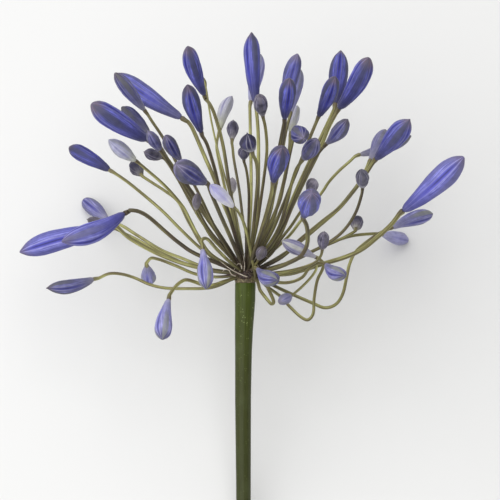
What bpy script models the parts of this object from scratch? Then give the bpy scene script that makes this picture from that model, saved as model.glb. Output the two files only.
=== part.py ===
"""An agapanthus head in bud, cut and laid on its side. Metres, +Z up, resting on z = 0."""
import math
from collections import namedtuple

import bmesh
import bpy
from mathutils import Matrix, Quaternion, Vector

MM = 0.001

# The head is described as it grew, in mm from the hub: x across, y up along the scape, z towards the viewer.
# The empty that carries it then lays it down, so that the scape rises from its cut end by LEAN.
LEAN = math.radians(24.5)
HUB_ACROSS = 2.5
HUB_ALONG = 2.1

# The scape, listed from its top down as (distance under the hub, sideways drift, radius).
SCAPE = [
    (2.5, -0.3, 4.5),
    (10.0, -0.4, 4.5),
    (23.0, -0.9, 4.0),
    (33.0, -1.1, 3.7),
    (54.0, -1.3, 3.5),
    (98.0, -1.1, 3.2),
    (121.0, -1.0, 3.1),
]
SCAPE_BEVEL_RESOLUTION = 4
SEAT_PRESS = 0.1

# The umbel base is a knob on top of the scape, and every pedicel starts inside it.
KNOB_RADIUS = 4.4
KNOB_BOTTOM = -2.2
KNOB_TOP = 5.4
KNOB_SIDES = 12
KNOB_RINGS = 8
KNOB_FLATTEST_EDGE = math.radians(1)
ROOT_CENTRE = Vector((0.0, 1.0, 0.0))
ROOT_DEPTH = 1.5

# A pedicel is as thick as its bud is heavy, and flares where the bud sits on it.
STALK_RADIUS_LEAST = 0.25
STALK_RADIUS_PER_WIDTH = 0.07
STALK_FLARE = 1.25
STALK_BEVEL_RESOLUTION = 1
STALK_LONGEST_STEP = 16.0
STALK_LARGEST_TURN = math.radians(15)
SAMPLES_PER_SPAN = 12
CLEARANCE = 0.3
COLLAR = 1.4
WELD = 0.001

# How each kind of bud swells from its neck to its fullest, as shares of its length and of its largest radius.
# Its rings crowd towards the tip, which is the roundest part.
Kind = namedtuple("Kind", "neck fullest swell sides rings seam colour roughness")
KINDS = {
    "ripe": Kind(0.32, 0.68, 1.2, 12, 9, 0.07, (0.10, 0.085, 0.36, 1), 0.45),
    "half_ripe": Kind(0.30, 0.66, 1.2, 12, 8, 0.07, (0.12, 0.11, 0.34, 1), 0.45),
    "young": Kind(0.36, 0.54, 0.9, 12, 6, 0.06, (0.035, 0.032, 0.085, 1), 0.5),
    "white": Kind(0.28, 0.62, 1.1, 12, 7, 0.07, (0.55, 0.55, 0.62, 1), 0.45),
}
# Buds whose outline sets them apart from their kind.
OWN_SHAPES = {
    "01": {"fullest": 0.72, "swell": 1.0}, "02": {"fullest": 0.62, "swell": 1.3}, "05": {"swell": 0.95},
    "06": {"fullest": 0.70, "swell": 1.3}, "07": {"fullest": 0.76, "swell": 1.65}, "08": {"swell": 2.2},
    "09": {"fullest": 0.70, "swell": 1.0}, "13": {"fullest": 0.58}, "14": {"swell": 1.4}, "18": {"swell": 1.5},
    "19": {"fullest": 0.70, "swell": 1.35}, "20": {"swell": 1.5}, "21": {"fullest": 0.66, "swell": 0.95},
    "22": {"fullest": 0.60, "swell": 1.9}, "25": {"fullest": 0.72, "swell": 1.1}, "27": {"swell": 1.4},
    "28": {"fullest": 0.70, "swell": 1.2}, "32": {"swell": 1.4}, "34": {"swell": 1.6},
    "35": {"fullest": 0.62, "swell": 1.1}, "37": {"fullest": 0.70, "swell": 1.0},
    "38": {"fullest": 0.62, "swell": 1.5}, "39": {"fullest": 0.64, "swell": 2.2},
    "40": {"fullest": 0.70, "swell": 1.7}, "41": {"swell": 1.7}, "42": {"swell": 1.5},
    "44": {"fullest": 0.52, "swell": 0.8}, "45": {"fullest": 0.70, "swell": 1.15}, "46": {"swell": 1.7},
    "51": {"swell": 2.2}, "52": {"swell": 1.9}, "58": {"fullest": 0.74, "swell": 1.0},
}
RING_CROWDING = 1.5
TEPALS = 3
RIDGE = 0.03
RELIEF_LEAD = 0.1

# Every bud: its kind, tip, base, largest width, how far its middle bows to its right as it points away from its
# base, the degrees to the right from the side that faces the viewer to the nearest midrib, how it narrows to its
# point (0.5 is round, more is sharper), and its pedicel's way from the hub to the base.
# A way's point with no third value takes its depth from how far along the pedicel it lies.
Bud = namedtuple("Bud", "kind tip base width bow roll point way")
BUDS = {
    "01": Bud("ripe", (-100.3, 10.9, -14), (-58.7, 21.6, -8), 9.8, 0.95, 60, 0.66,
              [(-20.2, 4.0), (-35.6, 8.8), (-50.2, 16.3)]),
    "02": Bud("ripe", (-80.2, 15.4, 30), (-52.8, 28.1, 10), 9.3, -1.9, 8, 0.66,
              [(-21.1, 9.7), (-29.0, 14.7), (-35.6, 20.2), (-42.2, 26.0), (-46.6, 28.6), (-50.4, 29.3)]),
    "03": Bud("half_ripe", (-73.7, 34.6, -73.0), (-62.1, 25.4, -57.0), 7.0, 0.0, 60, 0.52,
              [(-16.0, 3.5), (-28.0, 8.0), (-37.8, 11.9), (-48.8, 18.5), (-55.4, 22.6)]),
    "04": Bud("young", (-71.2, 25.7, -33), (-63.1, 23.2, -24), 4.4, 0.0, 0, 0.80,
              [(-18.0, 3.0), (-35.0, 9.5), (-50.0, 17.5)]),
    "05": Bud("half_ripe", (-87.7, -4.9, 12), (-66.3, -0.8, 6), 6.3, -1.15, 45, 0.84,
              [(-6.0, -1.0), (-15.0, -4.6), (-26.8, -5.1), (-35.6, -4.8), (-42.2, -3.3), (-48.8, -0.4),
               (-54.6, 1.3), (-60.0, 1.5)]),
    "06": Bud("half_ripe", (-43.1, -2.7, -33), (-44.1, 5.0, -22), 6.7, 0.0, -50, 0.48,
              [(-13.6, 0.0), (-22.4, 1.3), (-29.9, 4.4), (-35.6, 6.7), (-39.4, 7.9), (-42.2, 8.2)]),
    "07": Bud("half_ripe", (-36.3, -27.0, 38), (-33.6, -9.2, 24), 7.7, 0.5, -15, 0.62,
              [(-9.2, -1.8), (-14.5, -3.5), (-18.9, -3.3), (-25.5, -1.2), (-28.8, -2.3), (-31.4, -4.9)]),
    "08": Bud("half_ripe", (-17.1, -4.9, 56), (-18.8, 12.7, 46.5), 7.1, -0.3, -35, 0.50,
              [(-7.0, 6.6, 12), (-12.8, 12.3, 26), (-16.3, 16.3, 36), (-18.4, 16.8, 42), (-19.3, 15.0, 45)]),
    "09": Bud("ripe", (-67.0, 75.3, 32), (-42.6, 59.9, 14), 9.8, -0.5, -5, 0.42,
              [(-10.6, 16.3), (-18.0, 28.5), (-24.6, 38.3), (-31.2, 47.1), (-36.5, 54.3)]),
    "10": Bud("half_ripe", (-57.5, 89.5, 12), (-44.4, 73.0, 2), 6.3, 0.0, 10, 0.50,
              [(-9.0, 15.0), (-17.5, 28.0), (-24.6, 38.5), (-31.5, 52.0), (-36.5, 61.2), (-41.4, 68.6)]),
    "11": Bud("ripe", (-58.5, 90.5, -24), (-27.9, 69.9, -12), 9.1, -0.65, 60, 0.70,
              [(-6.2, 22.9), (-10.6, 33.9), (-14.1, 43.6), (-18.5, 53.7), (-23.2, 64.6), (-25.4, 68.2)]),
    "12": Bud("half_ripe", (-55.0, 75.1, -8), (-42.4, 63.4, -3), 6.5, 0.0, 0, 0.52,
              [(-10.0, 15.5), (-18.5, 27.5), (-26.0, 38.5), (-33.0, 49.5), (-38.0, 58.0)]),
    "13": Bud("white", (-60.1, 60.1, 17), (-48.2, 50.9, 6), 6.4, 0.0, 40, 0.66,
              [(-15.0, 9.7), (-20.7, 17.6), (-23.8, 23.3), (-26.4, 28.6), (-29.0, 32.6), (-36.5, 40.9)]),
    "14": Bud("young", (-51.3, 51.4, -36), (-46.5, 45.3, -25), 6.1, 0.0, 0, 0.80,
              [(-15.5, 9.0), (-24.6, 22.9), (-29.9, 33.0), (-35.6, 37.8), (-41.4, 41.6)]),
    "15": Bud("young", (-42.7, 63.8, 38), (-37.4, 55.4, 27), 5.3, 0.0, 40, 0.75,
              [(-10.6, 14.0), (-16.7, 21.6), (-22.4, 31.7), (-29.0, 42.7), (-34.3, 50.6)]),
    "16": Bud("young", (-44.9, 54.8, 24), (-37.1, 52.4, 14), 5.1, 0.0, 20, 0.95,
              [(-11.4, 13.6), (-17.6, 21.6), (-22.8, 29.9), (-29.0, 41.4), (-34.0, 49.6)]),
    "17": Bud("half_ripe", (-34.9, 61.6, 43), (-28.4, 50.9, 30), 6.1, -0.4, 60, 0.62,
              [(-7.9, 11.9), (-14.1, 22.9), (-18.9, 33.0), (-22.4, 40.0), (-26.0, 47.1)]),
    "18": Bud("ripe", (-29.8, 48.6, 62), (-17.2, 40.9, 43), 9.7, -0.4, 60, 0.50,
              [(-3.5, 9.7), (-7.0, 18.0), (-10.6, 26.0), (-13.6, 33.0), (-15.4, 37.4)]),
    "19": Bud("ripe", (-25.5, 100.7, 22), (-18.2, 79.5, 4), 7.6, -0.7, 5, 0.52,
              [(-3.5, 15.0), (-4.8, 24.0), (-6.6, 35.0), (-9.9, 56.8), (-13.4, 70.2), (-15.8, 75.8)]),
    "20": Bud("ripe", (-25.2, 82.9, 56), (-19.3, 62.6, 36), 7.7, -0.4, 52, 0.52,
              [(-7.0, 26.0), (-9.7, 33.9), (-12.1, 40.9), (-13.6, 47.1), (-16.7, 57.2)]),
    "21": Bud("white", (-6.3, 81.4, -62), (-11.8, 65.6, -48), 5.7, -1.1, 30, 0.72,
              [(-3.5, 14.0), (-6.5, 27.0), (-9.5, 40.0), (-12.0, 51.0), (-13.2, 58.5)]),
    "22": Bud("young", (-5.7, 70.0, -31), (-6.2, 60.6, -22), 5.3, 0.05, 10, 0.68,
              [(0.0, 18.5), (-1.3, 25.0), (-3.0, 38.3), (-5.3, 51.5), (-5.9, 56.8)]),
    "23": Bud("young", (0.4, 62.8, 53), (2.6, 54.5, 48), 7.3, -0.8, 60, 0.95,
              [(2.6, 16.3), (4.4, 33.9), (5.0, 42.7), (4.6, 49.3)]),
    "24": Bud("young", (-1.0, 57.0, 35), (-0.9, 51.6, 29), 5.0, 0.0, 0, 0.85,
              [(0.9, 18.5), (1.3, 33.9), (0.9, 41.8), (0.1, 47.1)]),
    "25": Bud("ripe", (2.4, 108.1, -7), (4.4, 75.7, 0), 7.6, -0.4, 22, 0.68,
              [(4.4, 25.0), (5.3, 38.3), (5.5, 55.9), (5.2, 66.0)]),
    "26": Bud("half_ripe", (6.4, 99.5, -40), (2.0, 77.4, -28), 6.6, 0.0, 0, 0.52,
              [(2.2, 33.9), (1.9, 64.7)]),
    "27": Bud("young", (5.7, 79.2, 50), (7.3, 70.2, 38), 6.2, -0.1, 0, 0.55,
              [(4.4, 20.7), (6.2, 31.7), (8.6, 49.3), (9.1, 57.0), (8.5, 64.5)]),
    "28": Bud("ripe", (18.8, 86.1, 48), (16.8, 68.7, 28), 7.5, -0.1, -50, 0.66,
              [(10.6, 31.7), (13.2, 49.3), (15.0, 59.0)]),
    "29": Bud("ripe", (22.5, 97.7, 18), (18.0, 75.7, 0), 7.2, -0.9, -58, 0.60,
              [(10.9, 33.0), (14.1, 50.0), (16.5, 62.0)]),
    "30": Bud("half_ripe", (24.2, 92.8, -40), (19.8, 72.6, -27), 5.9, 0.0, 30, 0.52,
              [(9.7, 25.0), (12.8, 38.3), (15.4, 51.5), (17.8, 64.7)]),
    "31": Bud("white", (23.1, 76.9, -60), (19.9, 64.1, -47), 5.0, -0.3, 25, 0.55,
              [(11.4, 22.9), (14.5, 33.9), (17.2, 44.9), (19.2, 57.0)]),
    "32": Bud("young", (24.7, 60.0, 56), (21.5, 63.6, 42), 7.9, 0.0, 0, 0.55,
              [(13.2, 29.5), (16.3, 40.5), (18.5, 51.5), (19.9, 58.0)]),
    "33": Bud("young", (30.8, 59.9, 46), (25.2, 51.7, 31), 7.0, 0.3, 0, 0.60,
              [(12.8, 18.5), (17.6, 31.7), (19.8, 40.5), (22.0, 47.1)]),
    "34": Bud("ripe", (15.5, 55.8, 68), (11.8, 41.2, 46), 9.1, -0.2, 30, 0.50,
              [(3.5, 11.0), (5.7, 17.2), (8.8, 27.3), (11.0, 36.0)]),
    "35": Bud("ripe", (42.1, 100.7, -25), (39.3, 75.9, -11), 8.5, 0.2, 58, 0.66,
              [(12.8, 16.3), (19.4, 31.7), (24.6, 43.6), (30.4, 55.9), (35.4, 66.4)]),
    "36": Bud("ripe", (38.7, 87.0, 36), (31.7, 70.1, 16), 7.0, 0.4, -45, 0.50,
              [(10.6, 18.5), (16.3, 31.7), (21.1, 43.6), (25.1, 53.7), (28.2, 61.6)]),
    "37": Bud("ripe", (53.9, 95.8, 16), (40.6, 73.7, 0), 8.7, 1.2, 5, 0.42,
              [(13.0, 15.0), (20.2, 30.8), (26.0, 43.0), (32.0, 55.0), (36.2, 65.4)]),
    "38": Bud("half_ripe", (44.3, 68.7, 34), (35.1, 58.2, 21), 6.7, 0.7, 50, 0.66,
              [(15.0, 19.8), (20.2, 31.7), (24.6, 41.4), (29.0, 50.2), (32.4, 55.2)]),
    "39": Bud("ripe", (28.1, 36.2, 74), (24.8, 26.3, 50), 9.9, 0.5, 35, 0.50,
              [(12.8, 4.0), (19.4, 6.6), (23.8, 9.2), (26.2, 13.2), (26.8, 17.6), (26.2, 22.4)]),
    "40": Bud("young", (29.4, 43.3, 15), (27.7, 34.9, 5), 5.6, 0.2, 0, 0.66,
              [(10.6, 9.7), (15.4, 16.7), (19.8, 22.4), (24.2, 29.0)]),
    "41": Bud("half_ripe", (62.3, 65.6, -34), (54.8, 51.4, -19), 5.9, -0.2, 0, 0.52,
              [(14.0, 8.5), (23.8, 15.4), (33.4, 23.3), (40.5, 29.5), (46.6, 36.5), (51.2, 43.7)]),
    "42": Bud("ripe", (71.7, 69.1, 20), (56.8, 51.5, 2), 9.2, 0.2, 5, 0.80,
              [(15.0, 8.4), (23.8, 16.3), (33.4, 24.2), (40.5, 29.9), (46.6, 37.0), (51.9, 44.2)]),
    "43": Bud("half_ripe", (74.3, 63.2, -52), (50.2, 54.3, -38), 5.9, 1.1, 30, 0.60,
              [(17.2, 16.3), (23.8, 24.2), (33.4, 37.0), (37.0, 42.3), (41.4, 47.1), (46.0, 51.2)]),
    "44": Bud("young", (50.1, 47.2, 31), (50.8, 39.6, 20), 6.0, 0.3, 10, 0.80,
              [(19.4, 6.6), (30.4, 11.9), (39.2, 17.2), (44.4, 22.4), (48.2, 28.8), (50.4, 35.6)]),
    "45": Bud("ripe", (94.8, 52.4, 30), (68.2, 28.6, 15), 10.3, 0.7, 55, 0.53,
              [(17.2, 1.3), (25.1, 3.1), (33.4, 5.7), (43.6, 8.8), (51.0, 12.3), (58.1, 18.0), (63.4, 22.9)]),
    "46": Bud("ripe", (83.3, 28.1, -36), (64.2, 21.6, -16), 6.8, -0.7, -20, 0.56,
              [(6.0, -0.8), (17.2, -6.2), (29.0, -11.4), (34.8, -13.6), (39.6, -12.1), (42.7, -7.5),
               (44.4, -0.4), (45.8, 5.7), (48.4, 11.0), (52.8, 15.0), (58.1, 18.7)]),
    "47": Bud("half_ripe", (73.3, 16.0, -65.6), (60.8, 19.0, -49.6), 6.1, 0.0, 60, 0.66,
              [(12.8, 4.0), (23.8, 8.8), (34.8, 13.6), (42.2, 16.7), (48.0, 18.3), (54.1, 19.0)]),
    "48": Bud("young", (50.6, 26.9, -45), (49.0, 21.3, -35), 5.6, -0.2, 0, 0.70,
              [(19.4, 6.6), (30.4, 11.9), (39.2, 15.4), (45.8, 18.6)]),
    "49": Bud("young", (33.9, 20.2, 45), (33.2, 12.6, 35), 5.3, 0.0, 30, 0.85,
              [(15.0, 2.2), (23.8, 4.0), (29.9, 6.4), (32.4, 9.2)]),
    "50": Bud("half_ripe", (43.1, 0.8, 44), (34.6, 5.7, 30), 6.5, 1.3, -30, 0.60,
              [(7.0, -1.0), (15.0, -2.4), (20.2, -2.0), (24.6, 0.0), (27.3, 3.5), (31.0, 6.0)]),
    "51": Bud("white", (15.9, 15.7, 27), (30.8, 8.6, 14), 6.2, 0.0, 0, 0.50,
              [(6.0, -0.9), (9.0, -4.0), (15.0, -8.4), (19.4, -13.2), (24.2, -17.6), (27.3, -18.7),
               (29.5, -15.8), (29.9, -9.2), (31.2, -1.6), (33.4, 3.2), (33.9, 6.0)]),
    "52": Bud("half_ripe", (13.8, -1.2, 39), (4.9, 3.8, 22), 7.1, 1.4, -30, 0.50,
              [(4.6, -1.2, 5.2), (6.2, -5.7, 8.5), (8.8, -9.2, 12), (11.0, -11.6, 15), (12.1, -10.6, 17),
               (10.2, -6.0, 18), (7.6, -1.0, 18.5), (5.4, 2.8, 19.6)]),
    "53": Bud("young", (14.0, -11.1, 35), (19.5, -8.1, 26), 4.8, 0.0, 60, 0.70,
              [(12.8, 0.7), (23.8, 2.9), (28.6, 5.5), (30.8, 4.6), (29.5, 1.4), (25.5, -3.1)]),
    "54": Bud("young", (7.9, 13.4, 21), (5.6, 8.0, 12), 4.8, 0.0, 0, 0.60,
              [(3.4, 4.6, 6)]),
    "55": Bud("white", (-15.4, 40.0, 55), (-5.3, 30.4, 40), 5.8, 0.0, 60, 0.66,
              [(3.8, -1.2, 4.4), (3.7, 2.6, 6.6), (2.2, 9.7, 10), (0.9, 17.2, 18), (-1.3, 24.6, 28),
               (-3.6, 28.8, 36)]),
    "56": Bud("young", (-6.2, 44.8, -64), (-6.4, 37.4, -55), 4.0, 0.0, 0, 0.60,
              [(-2.0, 14.0), (-4.2, 26.0)]),
    "57": Bud("young", (-20.9, 37.2, 38), (-21.7, 29.4, 30), 3.9, 0.0, 20, 0.90,
              [(-9.2, 11.0), (-15.0, 17.2), (-18.5, 22.9)]),
    "58": Bud("half_ripe", (-78.5, 57.5, -24), (-59.8, 46.9, -12), 6.8, 0.3, 0, 0.42,
              [(-13.6, 8.4), (-20.2, 12.8), (-29.0, 21.1), (-37.8, 29.9), (-51.0, 40.9)]),
}

# One bud is too small to have coloured yet, and is of one piece and one green with its stalk. Its rings are listed
# as (share of its length from its base, share of its largest radius).
LATE_BUD = Bud("young", (-19.6, 88.6, -9), (-17.9, 83.4, -8), 2.6, 0.0, 0, 0.85,
               [(-2.2, 14.0), (-4.6, 25.0), (-7.0, 36.0), (-10.5, 48.5), (-13.6, 60.8), (-15.9, 72.0)])
LATE_BUD_RINGS = [(0.15, 0.7), (0.45, 1.0), (0.75, 0.8), (1.0, 0.2)]

# The head lies on these two buds and on the rim of its cut end, each pressed flat where it touches.
RESTING_BUDS = ("03", "47")
SEAT_BLOCK = 300.0

SHARPEST_SMOOTH = math.radians(50)
PEDICEL_COLOUR = (0.145, 0.140, 0.040, 1)
SCAPE_COLOUR = (0.050, 0.100, 0.016, 1)


def clear_scene():
    for thing in list(bpy.data.objects):
        bpy.data.objects.remove(thing, do_unlink=True)


def new_collection(name):
    made = bpy.data.collections.new(name)
    bpy.context.scene.collection.children.link(made)
    return made


def principled(name, colour, roughness):
    made = bpy.data.materials.new(name)
    made.use_nodes = True
    shader = made.node_tree.nodes["Principled BSDF"]
    shader.inputs["Base Color"].default_value = colour
    shader.inputs["Roughness"].default_value = roughness
    shader.inputs["Metallic"].default_value = 0.0
    return made


def swelling(along, kind, point):
    """Share of the largest radius at a share of the bud's length from its neck."""
    if along <= kind.fullest:
        rise = math.sin(0.5 * math.pi * along / kind.fullest)
        return kind.neck + (1.0 - kind.neck) * rise ** kind.swell
    past = (along - kind.fullest) / (1.0 - kind.fullest)
    return max(0.0, 1.0 - past * past) ** point


def tepal_relief(turn, along, kind):
    """Ridge along the middle of each outer tepal, and a groove where two of them meet."""
    lobe = math.cos(TEPALS * turn)
    groove = max(0.0, -lobe) ** 3
    fade = math.sin(math.pi * min(1.0, along + RELIEF_LEAD))
    return 1.0 + (RIDGE * max(0.0, lobe) - kind.seam * groove) * fade


def bud_mesh(name, number, bud, bow):
    """Closed body along +Z in mm: a flat neck at the bottom and a blunt point at the top. Bow is a sideways vector."""
    kind = KINDS[bud.kind]._replace(**OWN_SHAPES.get(number, {}))
    length = (Vector(bud.tip) - Vector(bud.base)).length
    body = bmesh.new()
    bmesh.ops.create_uvsphere(body, u_segments=kind.sides, v_segments=kind.rings, radius=1.0)
    for corner in body.verts:
        ring = kind.rings * (1.0 - math.acos(max(-1.0, min(1.0, corner.co.z))) / math.pi)
        along = 1.0 - (1.0 - max(0.0, (ring - 1.0) / (kind.rings - 1.0))) ** RING_CROWDING
        turn = math.atan2(corner.co.y, corner.co.x)
        on_axis = math.hypot(corner.co.x, corner.co.y) < 0.001
        fullness = 0.0 if on_axis else swelling(along, kind, bud.point) * tepal_relief(turn, along, kind)
        radius = 0.5 * bud.width * fullness
        middle = Vector((0.0, 0.0, along * length)) + bow * math.sin(math.pi * along)
        corner.co = (middle + Vector((radius * math.cos(turn), radius * math.sin(turn), 0.0))) * MM
    mesh = bpy.data.meshes.new(name)
    body.to_mesh(mesh)
    body.free()
    mesh.shade_smooth()
    mesh.set_sharp_from_angle(angle=SHARPEST_SMOOTH)
    return mesh


def outward(bud):
    return (Vector(bud.tip) - Vector(bud.base)).normalized()


def stance(bud):
    """The turn that takes +Z to the bud's axis and +X to the midrib that its roll names."""
    axis = outward(bud)
    right = Vector((axis.y, -axis.x, 0.0)).normalized()
    facing = Matrix((right.cross(axis), right, axis)).transposed().to_quaternion()
    return facing @ Quaternion((0.0, 0.0, 1.0), math.radians(bud.roll)), right


def stalk_radius(bud):
    return STALK_RADIUS_LEAST + STALK_RADIUS_PER_WIDTH * bud.width


def way_points(bud):
    """The pedicel's points from inside the knob to the bud's base, with every depth filled in."""
    flat = [Vector((0.0, 0.0))] + [Vector(point[:2]) for point in bud.way] + [Vector(bud.base[:2])]
    reach = [0.0]
    for before, after in zip(flat, flat[1:]):
        reach.append(reach[-1] + (after - before).length)
    points = []
    for point, distance in zip(bud.way, reach[1:]):
        depth = point[2] if len(point) == 3 else bud.base[2] * distance / reach[-1]
        points.append(Vector((point[0], point[1], depth)))
    root = ROOT_CENTRE + (points[0] - ROOT_CENTRE).normalized() * ROOT_DEPTH
    return [root] + points + [Vector(bud.base) - outward(bud) * (CLEARANCE + COLLAR)]


def through(points, leave):
    """A smooth curve through the points, which ends in the direction of leave."""
    padded = [2 * points[0] - points[1]] + points + [points[-1] + leave]
    line = []
    for p0, p1, p2, p3 in zip(padded, padded[1:], padded[2:], padded[3:]):
        for step in range(SAMPLES_PER_SPAN):
            t = step / SAMPLES_PER_SPAN
            straight = 2 * p1 + (p2 - p0) * t
            bent = (2 * p0 - 5 * p1 + 4 * p2 - p3) * t ** 2 + (3 * p1 - p0 - 3 * p2 + p3) * t ** 3
            line.append((straight + bent) / 2)
    return line + [points[-1]]


def thinned(line):
    """Keeps a point only where the line has turned or run far enough since the last one kept."""
    kept = [line[0]]
    heading = (line[1] - line[0]).normalized()
    for here, ahead in zip(line[1:], line[2:]):
        onward = (ahead - here).normalized()
        turned = heading.angle(onward, 0.0) > STALK_LARGEST_TURN
        if turned or (here - kept[-1]).length > STALK_LONGEST_STEP:
            kept.append(here)
            heading = onward
    return kept + [line[-1]]


def tube(name, line, radii, resolution):
    """A closed round tube along the line, as a mesh object. Line and radii are in mm."""
    curve = bpy.data.curves.new(name, "CURVE")
    curve.dimensions = "3D"
    curve.bevel_depth = MM
    curve.bevel_resolution = resolution
    curve.use_fill_caps = True
    spline = curve.splines.new("POLY")
    spline.points.add(len(line) - 1)
    for knot, place, radius in zip(spline.points, line, radii):
        knot.co = (place.x * MM, place.y * MM, place.z * MM, 1.0)
        knot.radius = radius
    guide = bpy.data.objects.new(name + "_guide", curve)
    bpy.context.scene.collection.objects.link(guide)
    bpy.context.view_layer.update()
    shaped = guide.evaluated_get(bpy.context.evaluated_depsgraph_get())
    mesh = bpy.data.meshes.new_from_object(shaped)
    mesh.name = name
    body = bmesh.new()
    body.from_mesh(mesh)
    bmesh.ops.remove_doubles(body, verts=body.verts, dist=WELD * MM)
    body.to_mesh(mesh)
    body.free()
    made = bpy.data.objects.new(name, mesh)
    made.matrix_world = guide.matrix_world
    bpy.data.objects.remove(guide, do_unlink=True)
    return made


def stalk(name, bud):
    line = thinned(through(way_points(bud), outward(bud) * COLLAR))
    line.append(Vector(bud.base) - outward(bud) * CLEARANCE)
    thin = stalk_radius(bud)
    radii = [thin] * (len(line) - 1) + [thin * STALK_FLARE]
    return tube(name, line, radii, STALK_BEVEL_RESOLUTION)


def late_stalk():
    """The stalk of the late bud, which swells into the bud itself."""
    line = thinned(through(way_points(LATE_BUD), outward(LATE_BUD) * COLLAR))
    radii = [stalk_radius(LATE_BUD)] * len(line)
    base, reach = Vector(LATE_BUD.base), Vector(LATE_BUD.tip) - Vector(LATE_BUD.base)
    for along, fullness in LATE_BUD_RINGS:
        line.append(base + reach * along)
        radii.append(0.5 * LATE_BUD.width * fullness)
    return tube("late_stalk", line, radii, STALK_BEVEL_RESOLUTION)


def knob():
    """The swollen umbel base, a flat-bottomed dome about the head's y axis."""
    body = bmesh.new()
    bmesh.ops.create_uvsphere(body, u_segments=KNOB_SIDES, v_segments=KNOB_RINGS, radius=1.0)
    for corner in body.verts:
        height = max(corner.co.z * KNOB_TOP, KNOB_BOTTOM)
        side = KNOB_RADIUS * MM
        corner.co = Vector((corner.co.x * side, height * MM, -corner.co.y * side))
    bmesh.ops.dissolve_limit(body, angle_limit=KNOB_FLATTEST_EDGE, verts=body.verts, edges=body.edges)
    mesh = bpy.data.meshes.new("umbel_base")
    body.to_mesh(mesh)
    body.free()
    return bpy.data.objects.new("pedicels", mesh)


def grow_pedicels(head, parts, material):
    """All pedicels and the knob they rise from, joined into the one body that they are."""
    stalks = new_collection("stalks")
    for number, bud in BUDS.items():
        stalks.objects.link(stalk("stalk_" + number, bud))
    stalks.objects.link(late_stalk())
    made = knob()
    parts.objects.link(made)
    joint = made.modifiers.new("grown_together", "BOOLEAN")
    joint.operation = "UNION"
    joint.operand_type = "COLLECTION"
    joint.collection = stalks
    joint.solver = "EXACT"
    bpy.context.view_layer.update()
    joined = bpy.data.meshes.new_from_object(made.evaluated_get(bpy.context.evaluated_depsgraph_get()))
    made.modifiers.clear()
    made.data = joined
    for piece in list(stalks.objects):
        bpy.data.objects.remove(piece, do_unlink=True)
    bpy.data.collections.remove(stalks)
    joined.materials.clear()
    joined.materials.append(material)
    joined.shade_smooth()
    joined.set_sharp_from_angle(angle=SHARPEST_SMOOTH)
    made.parent = head


def grow_scape(head, parts, material):
    line = [Vector((drift, -under, 0.0)) for under, drift, radius in SCAPE]
    made = tube("scape", line, [radius for under, drift, radius in SCAPE], SCAPE_BEVEL_RESOLUTION)
    parts.objects.link(made)
    made.data.materials.append(material)
    made.data.shade_smooth()
    made.data.set_sharp_from_angle(angle=SHARPEST_SMOOTH)
    made.parent = head
    return made


def grow_bud(number, bud, head, parts, material):
    name = "%s_bud_%s" % (bud.kind, number)
    turned, right = stance(bud)
    bow = turned.inverted() @ right * bud.bow
    made = bpy.data.objects.new(name, bud_mesh(name, number, bud, bow))
    parts.objects.link(made)
    made.data.materials.append(material)
    made.rotation_mode = "QUATERNION"
    made.rotation_quaternion = turned
    made.location = Vector(bud.base) * MM
    made.parent = head
    return made


def seat_cutter():
    """Everything under the surface that the head lies on."""
    bpy.ops.mesh.primitive_cube_add(size=1.0, location=(0.0, 0.0, -0.5 * SEAT_BLOCK * MM))
    made = bpy.context.object
    made.name = "seat_cutter"
    made.scale = (2 * SEAT_BLOCK * MM, 2 * SEAT_BLOCK * MM, SEAT_BLOCK * MM)
    made.hide_render = True
    made.display_type = "WIRE"
    for owner in list(made.users_collection):
        owner.objects.unlink(made)
    new_collection("cutters").objects.link(made)
    return made


def seat(piece, cutter):
    press = piece.modifiers.new("pressed_flat", "BOOLEAN")
    press.operation = "DIFFERENCE"
    press.object = cutter
    press.solver = "EXACT"


def main():
    clear_scene()
    parts = new_collection("agapanthus_head")
    head = bpy.data.objects.new("head", None)
    parts.objects.link(head)
    under, drift, radius = SCAPE[-1]
    height = under * math.sin(LEAN) + radius * math.cos(LEAN) - SEAT_PRESS
    head.location = (HUB_ACROSS * MM, HUB_ALONG * MM, height * MM)
    head.rotation_euler = (LEAN, 0.0, 0.0)
    grow_pedicels(head, parts, principled("olive pedicel", PEDICEL_COLOUR, 0.5))
    scape = grow_scape(head, parts, principled("green scape", SCAPE_COLOUR, 0.4))
    tepals = {name: principled(name + " tepal", kind.colour, kind.roughness) for name, kind in KINDS.items()}
    buds = {}
    for number, bud in BUDS.items():
        buds[number] = grow_bud(number, bud, head, parts, tepals[bud.kind])
    cutter = seat_cutter()
    seat(scape, cutter)
    for number in RESTING_BUDS:
        seat(buds[number], cutter)


main()
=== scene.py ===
import math
import random
from collections import namedtuple
from functools import partial

import bmesh
import bpy
from mathutils import Matrix, Vector, noise


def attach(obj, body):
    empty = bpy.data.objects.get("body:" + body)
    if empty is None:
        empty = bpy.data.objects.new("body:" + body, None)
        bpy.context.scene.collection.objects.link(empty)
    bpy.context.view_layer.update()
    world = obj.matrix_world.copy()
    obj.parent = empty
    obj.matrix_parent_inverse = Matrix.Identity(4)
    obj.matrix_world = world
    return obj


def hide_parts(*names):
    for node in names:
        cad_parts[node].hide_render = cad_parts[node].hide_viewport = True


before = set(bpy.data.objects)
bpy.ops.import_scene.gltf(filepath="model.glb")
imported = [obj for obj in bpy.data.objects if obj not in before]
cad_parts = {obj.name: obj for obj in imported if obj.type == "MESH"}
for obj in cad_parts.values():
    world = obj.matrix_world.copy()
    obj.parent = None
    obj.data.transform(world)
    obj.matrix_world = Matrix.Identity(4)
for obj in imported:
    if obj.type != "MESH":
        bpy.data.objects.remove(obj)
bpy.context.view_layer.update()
print("frame loaded: %d nodes" % len(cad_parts))

mm = 0.001

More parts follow.
